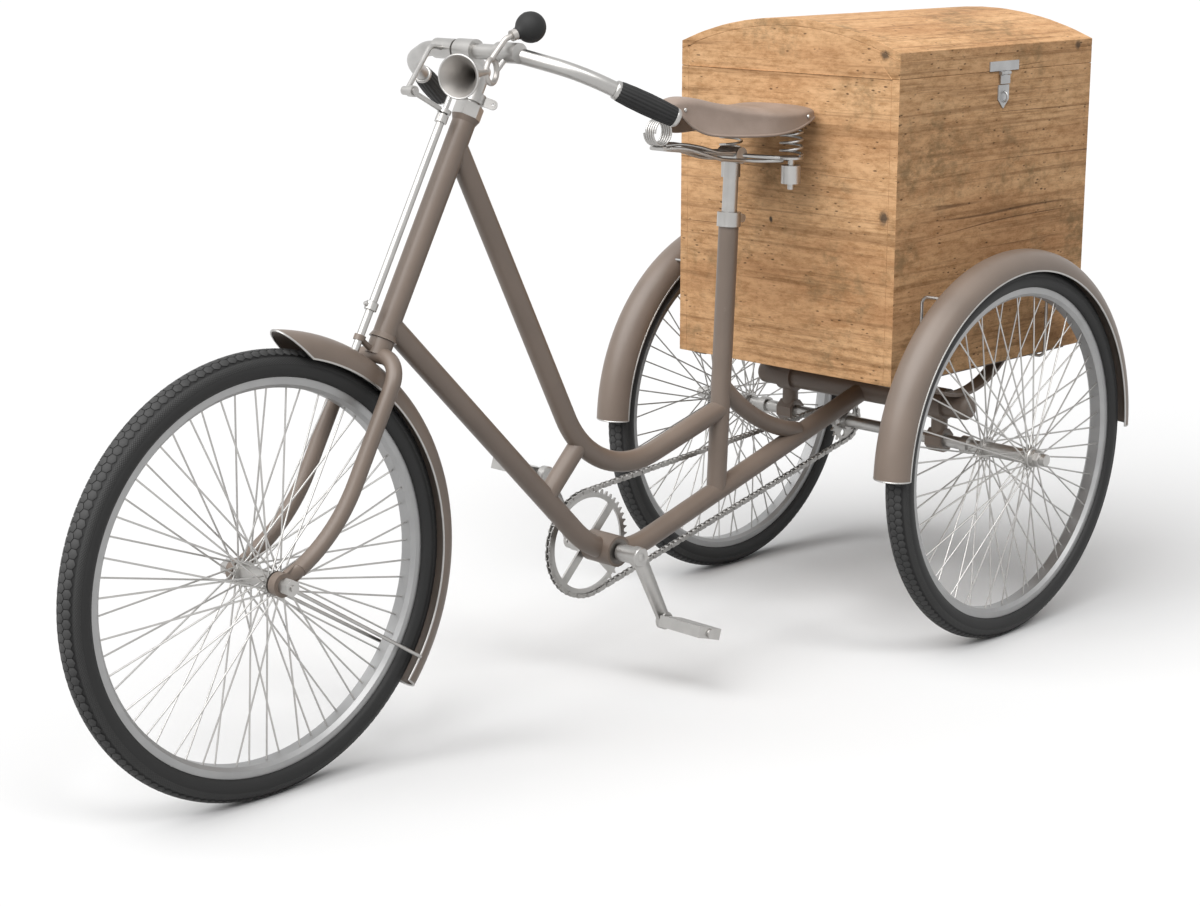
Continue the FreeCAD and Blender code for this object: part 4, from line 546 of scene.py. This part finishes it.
def grip(name, side):
    bar_rise = 98
    knee = head(bar_rise, -13, 200 * side)
    end = head(bar_rise, -173, 283 * side)
    way = (end - knee).normalized()
    grip_from_knee = 0.064
    start = knee + way * grip_from_knee
    flutes = 18
    flute_depth = 0.0011
    barrel = [(0.007, 0.0135), (0.0072, 0.0158), (0.011, 0.0166), (0.03, 0.0178), (0.058, 0.0184),
              (0.085, 0.0178), (0.105, 0.0166), (0.1085, 0.0158), (0.109, 0.0135)]
    inner_collar = [(0, 0.0127), (0.0002, 0.0142), (0.002, 0.0155), (0.006, 0.0155), (0.0078, 0.0148),
                    (0.0082, 0.0127)]
    end_cap = [(0.108, 0.0126), (0.1084, 0.0148), (0.111, 0.0155), (0.114, 0.0148), (0.1165, 0.0118),
               (0.118, 0.006)]
    rubber = Form()
    rubber.turned(start, way, barrel, 144, flutes, flute_depth)
    show(name, rubber.mesh(name, black_rubber, 60), "steering", "black_rubber", "grips")
    ends = Form()
    ends.turned(start, way, inner_collar, 48)
    ends.turned(start, way, end_cap, 48)
    show(name + "_collars", ends.mesh(name + "_collars", nickel, 50), "steering", "bright_steel")


grip("left_grip", 1)
grip("right_grip", -1)


# Horn bulb: a rubber ball drawn out to a neck, with a mould seam round it

def horn_bulb():
    centre = head(147, 37, 114)
    way = (centre - head(110.5, 70, 105.5)).normalized()
    radius = 0.0248
    seam_rise = 0.0003
    profile = [(-0.0295, 0.0088), (-0.0285, 0.0098), (-0.0255, 0.0101), (-0.0235, 0.0108),
               (-0.0215, 0.0134)]
    for degrees in range(-54, 90, 6):
        angle = math.radians(degrees)
        swell = seam_rise if degrees == 0 else 0.0
        profile.append((radius * math.sin(angle), radius * math.cos(angle) + swell))
    profile.append((radius, 0.001))
    form = Form()
    form.turned(centre, way, profile, 48)
    rubber = form.mesh("horn_bulb_rubber", black_rubber, 80)
    show("horn_bulb_rubber", rubber, "steering", "black_rubber", "horn_bulb")


def horn_bead():
    """A rolled edge round the mouth of the horn."""
    turn = math.radians(21)
    way = Vector((math.cos(turn), math.sin(turn), 0))
    across, other = sides_of(way)
    set_back = 0.0012
    mouth_radius = 0.0332
    bead_radius = 0.0017
    steps = 64
    mouth = head(4, 162, 140) - way * set_back
    route = []
    for i in range(steps):
        angle = 2 * math.pi * i / steps
        route.append(mouth + swung(across, other, angle) * mouth_radius)
    form = Form()
    form.tube(route, bead_radius, 10, closed=True)
    show("horn_bead", form.mesh("horn_bead", nickel), "steering", "bright_steel")


horn_bulb()
horn_bead()


# Brake rod collar: a bright ring clamped on the rod with a small screw

def rod_collar():
    base = head(-353, 46)
    form = Form()
    ring = [(0, 0.0095), (0.0008, 0.0103), (0.0132, 0.0103), (0.014, 0.0095)]
    form.turned(base, HEAD_UP, ring, 36)
    screw_rise = 0.007
    screw = [(0.009, 0.0036), (0.0145, 0.0036), (0.0155, 0.0028)]
    form.turned(base + HEAD_UP * screw_rise, HEAD_AHEAD, screw, 20)
    show("brake_rod_collar", form.mesh("brake_rod_collar", nickel), "brake_rod", "bright_steel")


rod_collar()


# Saddle: a hollow leather shell with skirts and a rolled edge, on coil springs

# Each place: distance ahead of the rear axle, half width, crown, half width and height of the skirt's edge
SADDLE_PLACES = [
    (588, 5, 667, 6, 661), (586, 11, 671, 12, 659), (580, 18, 676, 20, 656), (566, 25, 680, 28, 649),
    (545, 30, 681, 37, 628), (517, 38, 677, 47, 615), (478, 53, 668, 63, 610), (430, 71, 660, 79, 608),
    (385, 85, 655, 91, 608), (342, 92, 653, 96, 613), (308, 92, 654, 95, 622), (284, 87, 653, 89, 629),
    (270, 80, 651, 81, 631), (265, 75, 645, 76, 631), (263, 72, 634, 73, 630),
]
LEATHER = 4.0


def between(before, first, second, after, share):
    """A smooth curve through four values, between the middle two."""
    slope = (second - before) / 2
    end_slope = (after - first) / 2
    bend = 3 * (second - first) - 2 * slope - end_slope
    turn = 2 * (first - second) + slope + end_slope
    return first + share * (slope + share * (bend + share * turn))


def saddle_places():
    """The saddle's places with smooth ones between them."""
    steps = 5
    last = len(SADDLE_PLACES) - 1
    places = []
    for i in range(last):
        four = [SADDLE_PLACES[max(0, min(last, i + j))] for j in (-1, 0, 1, 2)]
        for k in range(steps):
            places.append([between(*values, k / steps) for values in zip(*four)])
    places.append(list(SADDLE_PLACES[-1]))
    return places


def saddle_side(half, crown, edge_half, edge):
    """Points of one half of the section, from the crown out and down to the skirt's edge."""
    drop = min(17.0, 0.5 * (crown - edge))
    shoulder = crown - drop
    points = []
    for i in range(13):
        angle = math.pi / 2 * i / 12
        points.append((half * math.sin(angle) ** 0.7, shoulder + drop * math.cos(angle) ** 0.85))
    for i in range(1, 7):
        share = i / 6
        points.append((half + (edge_half - half) * share ** 1.4, shoulder + (edge - shoulder) * share))
    return points


def saddle():
    shell = Form()
    left_edge = []
    right_edge = []
    rows = []
    for ahead, half, crown, edge_half, edge in saddle_places():
        outside = saddle_side(half, crown, edge_half, edge)
        within = saddle_side(max(1.0, half - LEATHER), max(edge + 1, crown - LEATHER),
                             max(1.0, edge_half - LEATHER), edge)
        inner_ahead = max(267.0, min(584.0, ahead))
        row = [millimetres(ahead, y, z) for y, z in reversed(outside)]
        row += [millimetres(ahead, -y, z) for y, z in outside[1:]]
        row += [millimetres(inner_ahead, -y, z) for y, z in reversed(within)]
        row += [millimetres(inner_ahead, y, z) for y, z in within[1:]]
        rows.append(row)
        left_edge.append(millimetres(ahead, edge_half - 1.2, edge + 0.6))
        right_edge.append(millimetres(ahead, 1.2 - edge_half, edge + 0.6))
    first = shell.grid(rows, close_columns=True)
    shell.cap(first, len(rows[0]))
    shell.cap(first + (len(rows) - 1) * len(rows[0]), len(rows[0]))
    shell_mesh = shell.mesh("saddle_shell", leather, 60)
    show("saddle_shell", shell_mesh, "seat", "saddle_leather", "saddle_leather")
    roll = Form()
    roll_radius = 0.0026
    roll.tube(left_edge + list(reversed(right_edge)), roll_radius, 10, closed=True)
    show("saddle_roll", roll.mesh("saddle_roll", leather), "seat", "saddle_leather")
    rivets = Form()
    dome = [(0, 0.0036), (0.0026, 0.0036), (0.0036, 0.0028), (0.0041, 0.001)]
    for side in (1, -1):
        for ahead, out, height, way in ((559, 25.6, 660, Vector((0.25, side, 0.1))),
                                        (301, 91.6, 636, Vector((-0.2, side, 0)))):
            base = millimetres(ahead, side * out, height)
            rivets.turned(base, way.normalized(), dome, 20)
    show("saddle_rivets", rivets.mesh("saddle_rivets", nickel, 60), "seat", "bright_steel")


def coil(form, middle, axis, radius, length, turns, thickness):
    """A round spring of wire wound about an axis."""
    across, other = sides_of(axis)
    steps_per_turn = 28
    steps = int(turns * steps_per_turn)
    route = []
    for i in range(steps + 1):
        share = i / steps
        angle = 2 * math.pi * turns * share
        route.append(middle + axis * (length * share) + swung(across, other, angle) * radius)
    form.tube(route, thickness, 10)


def saddle_springs():
    form = Form()
    nose_wire = 0.0021
    rear_wire = 0.0023
    plate_height = 629.5
    plate_depth = Vector((0, 0, 0.0025))
    coil(form, millimetres(600, -13, 622), LEFT, 0.022, 0.026, 5, nose_wire)
    for side in (-1, 1):
        tail = [(600, 13, 644), (590, 13, 648), (566, 12, 655)]
        form.tube([millimetres(x, y * side, z) for x, y, z in tail], nose_wire)
    for side in (1, -1):
        coil(form, millimetres(324, 73 * side, 566), Vector((0, 0, 1)), 0.020, 0.062, 4.5, rear_wire)
    outline = [(284, -82), (300, -86), (352, -86), (360, -78), (360, 78), (352, 86), (300, 86), (284, 82)]
    form.slab([millimetres(x, y, plate_height) for x, y in outline], plate_depth)
    wound = form.mesh("saddle_springs_wound", nickel)
    show("saddle_springs_wound", wound, "seat", "bright_steel", "saddle_springs")


def smooth(points, steps=8):
    """A smooth route through a few points."""
    last = len(points) - 1
    route = []
    for i in range(last):
        four = [points[max(0, min(last, i + j))] for j in (-1, 0, 1, 2)]
        for k in range(steps):
            route.append(Vector([between(*values, k / steps) for values in zip(*four)]))
    route.append(points[-1])
    return route


def saddle_wires():
    """The second pairs of bent wires under the saddle, from the nose spring through the clamp."""
    lower = [(586, 19, 594), (548, 22, 590), (505, 24, 578), (462, 25, 566), (424, 24, 561),
             (392, 27, 558), (362, 44, 556), (334, 62, 556)]
    upper = [(592, 9, 598), (552, 13, 598), (508, 17, 590), (462, 20, 578), (420, 21, 575)]
    form = Form()
    for side in (1, -1):
        for bend, thickness in ((lower, 0.0034), (upper, 0.003)):
            form.tube(smooth([millimetres(x, y * side, z) for x, y, z in bend]), thickness, 12)
    show("saddle_wires", form.mesh("saddle_wires", nickel), "seat", "bright_steel")


saddle()
saddle_springs()
saddle_wires()


# Chain: plates in pairs, inner and outer by turns, with pins, and rollers on the free runs

PEDAL_AXIS = Vector((-0.0015, 0, 0.25))
REAR_AXIS = Vector((-0.7335, 0, 0.358))
CHAIN_LINE = -0.045
RING_RADIUS = 0.0971
SPROCKET_RADIUS = 0.0406
LINKS = 150


def chain_route():
    """Places of the pins round the two toothed wheels, and whether each lies on a free run."""
    gap = PEDAL_AXIS - REAR_AXIS
    heading = math.atan2(gap.z, gap.x)
    lean = math.asin((RING_RADIUS - SPROCKET_RADIUS) / gap.length)
    run = gap.length * math.cos(lean)
    ring_wrap = RING_RADIUS * (math.pi + 2 * lean)
    sprocket_wrap = SPROCKET_RADIUS * (math.pi - 2 * lean)
    whole = 2 * run + ring_wrap + sprocket_wrap
    top_angle = heading + math.pi / 2 + lean
    low_angle = heading - math.pi / 2 - lean

    def rim(centre, radius, angle):
        return centre + Vector((radius * math.cos(angle), CHAIN_LINE, radius * math.sin(angle)))

    places = []
    for i in range(LINKS):
        along = whole * i / LINKS
        if along < run:
            share = along / run
            start = rim(REAR_AXIS, SPROCKET_RADIUS, top_angle)
            places.append((start.lerp(rim(PEDAL_AXIS, RING_RADIUS, top_angle), share), True))
        elif along < run + ring_wrap:
            places.append((rim(PEDAL_AXIS, RING_RADIUS, top_angle - (along - run) / RING_RADIUS), False))
        elif along < 2 * run + ring_wrap:
            share = (along - run - ring_wrap) / run
            start = rim(PEDAL_AXIS, RING_RADIUS, low_angle)
            places.append((start.lerp(rim(REAR_AXIS, SPROCKET_RADIUS, low_angle), share), True))
        else:
            turned = (along - 2 * run - ring_wrap) / SPROCKET_RADIUS
            places.append((rim(REAR_AXIS, SPROCKET_RADIUS, low_angle - turned), False))
    return places


def link_outline(start, end, reach, waist):
    """A plate's outline: two round ends with a narrower middle."""
    way = (end - start).normalized()
    square = way.cross(LEFT)
    outline = []
    for centre, turn in ((end, 0.0), (start, math.pi)):
        for degrees in (-75, -45, -15, 15, 45, 75):
            angle = turn + math.radians(degrees)
            outline.append(centre + swung(way, square, angle) * reach)
        side = 1 if turn == 0.0 else -1
        outline.append((start + end) / 2 + square * (waist * side))
    return outline


def chain():
    places = chain_route()
    form = Form()
    plate_reach = 0.0043
    plate_waist = 0.0034
    plate_thick = 0.0012
    inner_near = 0.0025
    outer_near = 0.0039
    pin_near = 0.005
    pin_head = [(0, 0.0018), (0.0006, 0.0016)]
    roller_half = 0.0024
    roller = [(0, 0.0039), (0.0048, 0.0039)]
    for i in range(LINKS):
        start, free = places[i]
        end = places[(i + 1) % LINKS][0]
        outer = i % 2 == 1
        for side in (1, -1):
            near = outer_near if outer else inner_near
            offset = LEFT * (near * side)
            depth = LEFT * (plate_thick * side)
            plate = link_outline(start, end, plate_reach, plate_waist)
            form.slab([point + offset for point in plate], depth)
            if outer:
                for pin in (start, end):
                    form.turned(pin + LEFT * (pin_near * side), LEFT * side, pin_head, 10)
        if free:
            form.turned(start - LEFT * roller_half, LEFT, roller, 14)
    show("chain_links", form.mesh("chain_links", chain_steel), "frame", "chain_steel", "chain")


chain()


# Cranks: round eyes, tapered arms and cotter pins, on the spindle

def cranks():
    turn = math.radians(243)
    way = Vector((math.cos(turn), 0, math.sin(turn)))
    square = way.cross(LEFT)
    crank = 0.148
    spindle_right = 0.0905
    sleeve_left = 0.0375
    spindle = [(0, 0.007), (0.0005, 0.008), (0.1805, 0.008), (0.181, 0.007)]
    sleeve = [(0, 0.0145), (0.001, 0.0155), (0.036, 0.0155)]
    eye = [(0.0725, 0.0165), (0.0738, 0.0178), (0.0885, 0.0178), (0.0898, 0.0165)]
    end = [(0.0755, 0.0148), (0.0768, 0.0161), (0.0888, 0.0161), (0.09, 0.0148)]
    pedal_pin = [(0.09, 0.0082), (0.096, 0.0082), (0.0965, 0.006), (0.193, 0.006), (0.1932, 0.0085),
                 (0.197, 0.008)]
    # Each corner of the arm's section: its share of the half width, and its distance out
    arm = ((1, 0.0785), (1, 0.0872), (0.8, 0.0888), (-0.8, 0.0888), (-1, 0.0872), (-1, 0.0785),
           (-0.8, 0.0768), (0.8, 0.0768))
    arm_places = (0.06, 0.5, 0.95)
    cotter = [(0, 0.0032), (0.0005, 0.0042), (0.035, 0.0046), (0.0355, 0.0036)]
    form = Form()
    form.turned(PEDAL_AXIS - LEFT * spindle_right, LEFT, spindle, 32)
    form.turned(PEDAL_AXIS + LEFT * sleeve_left, LEFT, sleeve, 36)
    for side in (1, -1):
        out = LEFT * side
        reach = way * (crank * side)
        form.turned(PEDAL_AXIS, out, eye, 40)
        form.turned(PEDAL_AXIS + reach, out, end, 36)
        form.turned(PEDAL_AXIS + reach, out, pedal_pin, 28)
        heading = way * side
        cross = square * side
        rows = []
        for share in arm_places:
            half = 0.0142 - 0.0026 * share
            middle = PEDAL_AXIS + heading * (crank * share)
            rows.append([middle + cross * (half * across) + out * depth for across, depth in arm])
        first = form.grid(rows, close_columns=True)
        form.cap(first, len(arm))
        form.cap(first + (len(rows) - 1) * len(arm), len(arm))
        cotter_start = PEDAL_AXIS + out * 0.081 + heading * 0.0085 - cross * 0.0185
        form.turned(cotter_start, cross, cotter, 18)
    show("crank_set", form.mesh("crank_set", nickel), "crankset", "bright_steel", "cranks")


cranks()


# Hub nuts: a six-sided nut and a washer on each end of the rear axle

def hub_nuts():
    # Each profile: distance out from the middle of the tricycle, and radius
    cap = [(0.395, 0.0185), (0.3965, 0.0195), (0.405, 0.0195), (0.4065, 0.0185)]
    washer = [(0.4065, 0.0165), (0.4085, 0.0165)]
    nut = [(0.4085, 0.0148), (0.4092, 0.0156), (0.4235, 0.0156), (0.4245, 0.0146)]
    for wheel, side in (("left", 1), ("right", -1)):
        body, middle = WHEELS[wheel]
        out = LEFT * side
        base = Vector((middle.x, 0.0, middle.z))
        form = Form()
        form.turned(base, out, cap, 40)
        form.turned(base, out, washer, 40)
        form.turned(base, out, nut, 6)
        name = wheel + "_hub_nut"
        show(name, form.mesh(name, nickel, 30), body, "bright_steel")


hub_nuts()


# Chest: the boards with eased edges, end grain boards running across

EASED_EDGE = 0.0012


def eased(node, body):
    """A copy of a wooden node with eased edges, its front and back faces with the grain running across."""
    mesh = nodes[node].data.copy()
    mesh.materials.clear()
    mesh.materials.append(wood_along)
    mesh.materials.append(wood_across)
    solid = bmesh.new()
    solid.from_mesh(mesh)
    bmesh.ops.remove_doubles(solid, verts=solid.verts, dist=1e-5)
    bmesh.ops.dissolve_limit(solid, angle_limit=math.radians(2), verts=solid.verts, edges=solid.edges)
    least_turn = math.radians(30)
    sharp = [line for line in solid.edges if line.is_manifold and line.calc_face_angle(0) > least_turn]
    bmesh.ops.bevel(solid, geom=sharp, offset=EASED_EDGE, segments=2, profile=0.6, affect="EDGES",
                    clamp_overlap=True)
    bmesh.ops.triangulate(solid, faces=[face for face in solid.faces if len(face.verts) > 4])
    solid.normal_update()
    for face in solid.faces:
        face.material_index = 1 if abs(face.normal.x) > 0.75 else 0
        face.smooth = False
    solid.to_mesh(mesh)
    solid.free()
    show(node + "_boards", mesh, body, "old_pine", node)


for board in ("chest_ends", "chest_left_side", "chest_right_side"):
    eased(board, "frame")
for board in ("lid_band", "lid_vault"):
    eased(board, "lid")


# Fork ends: paint over the flattened ends of the blades

def fork_ends():
    front = WHEELS["front"][1]
    way = Vector((-0.857, 0, 0.515))
    square = Vector((0.515, 0, 0.857))
    sides = 28
    # Each place: distance from the axle, distance out, half thickness, half width
    blade_places = ((0.056, 0.06, 0.0118, 0.0118), (0.043, 0.06, 0.0127, 0.0127),
                    (0.036, 0.0588, 0.0116, 0.0131), (0.028, 0.0562, 0.0094, 0.0135),
                    (0.021, 0.0545, 0.0078, 0.0139), (0.015, 0.054, 0.0074, 0.0142))
    form = Form()
    for side in (1, -1):
        rows = []
        for along, out, thick, half in blade_places:
            row = []
            for i in range(sides):
                angle = 2 * math.pi * i / sides
                level = (out + thick * math.sin(angle)) * side
                row.append(front + way * along + square * (half * math.cos(angle)) + LEFT * level)
            rows.append(row)
        first = form.grid(rows, close_columns=True)
        form.cap(first, sides)
        form.cap(first + (len(rows) - 1) * sides, sides)
    show("fork_ends", form.mesh("fork_ends", paint), "steering", "frame_paint")


fork_ends()


# Light, floor and camera

def studio():
    world = bpy.data.worlds.new("studio")
    scene.world = world
    world.use_nodes = True
    tree = world.node_tree
    background = tree.nodes["Background"]
    background.inputs["Color"].default_value = (1, 1, 1, 1)
    path = tree.nodes.new("ShaderNodeLightPath")
    seen = path.outputs["Is Camera Ray"]
    for ray in ("Is Glossy Ray", "Is Transmission Ray"):
        either = tree.nodes.new("ShaderNodeMath")
        either.operation = "MAXIMUM"
        tree.links.new(seen, either.inputs[0])
        tree.links.new(path.outputs[ray], either.inputs[1])
        seen = either.outputs[0]
    strength = tree.nodes.new("ShaderNodeMapRange")
    light_on_object = 0.25
    white_seen = 1.0
    strength.inputs["To Min"].default_value = light_on_object
    strength.inputs["To Max"].default_value = white_seen
    tree.links.new(seen, strength.inputs["Value"])
    tree.links.new(strength.outputs["Result"], background.inputs["Strength"])
    for name, energy, softness, way in (("key", 3.8, 66, (-0.64, 0.0, -0.77)),
                                        ("side", 0.7, 20, (-0.15, -0.62, -0.77))):
        sun = bpy.data.lights.new(name, "SUN")
        sun.energy = energy
        sun.angle = math.radians(softness)
        lamp = bpy.data.objects.new(name, sun)
        lamp.rotation_euler = Vector(way).to_track_quat("-Z", "Y").to_euler()
        scene.collection.objects.link(lamp)


def floor():
    reach = 60.0
    mesh = bpy.data.meshes.new("floor")
    corners = [(-reach, -reach, 0), (reach, -reach, 0), (reach, reach, 0), (-reach, reach, 0)]
    mesh.from_pydata(corners, [], [(0, 1, 2, 3)])
    plane = bpy.data.objects.new("floor", mesh)
    scene.collection.objects.link(plane)
    shader = Shader("floor", Roughness=0.9, Specular_IOR_Level=0.1)
    path = shader.add("LightPath", {}).outputs
    colour_in_light = (0.29, 0.29, 0.29)
    colour_seen = (0.765, 0.765, 0.765)
    colour = colour_in_light
    for ray in ("Is Camera Ray", "Is Glossy Ray", "Is Transmission Ray"):
        colour = shader.mix(path[ray], colour, colour_seen)
    shader.colour(colour)
    mesh.materials.append(shader.material)


def camera():
    place = Vector((2.83548, 2.78982, 1.39094))
    heading = math.radians(-135.347)
    pitch = math.radians(-13.653)
    lens = bpy.data.cameras.new("camera")
    lens.sensor_width = 36.0
    lens.lens = 69.39
    lens.clip_end = 300.0
    viewer = bpy.data.objects.new("camera", lens)
    viewer.location = place
    level = math.cos(pitch)
    look = Vector((math.cos(heading) * level, math.sin(heading) * level, math.sin(pitch)))
    viewer.rotation_euler = look.to_track_quat("-Z", "Y").to_euler()
    scene.collection.objects.link(viewer)
    scene.camera = viewer


scene.view_settings.view_transform = "Standard"
studio()
floor()
camera()
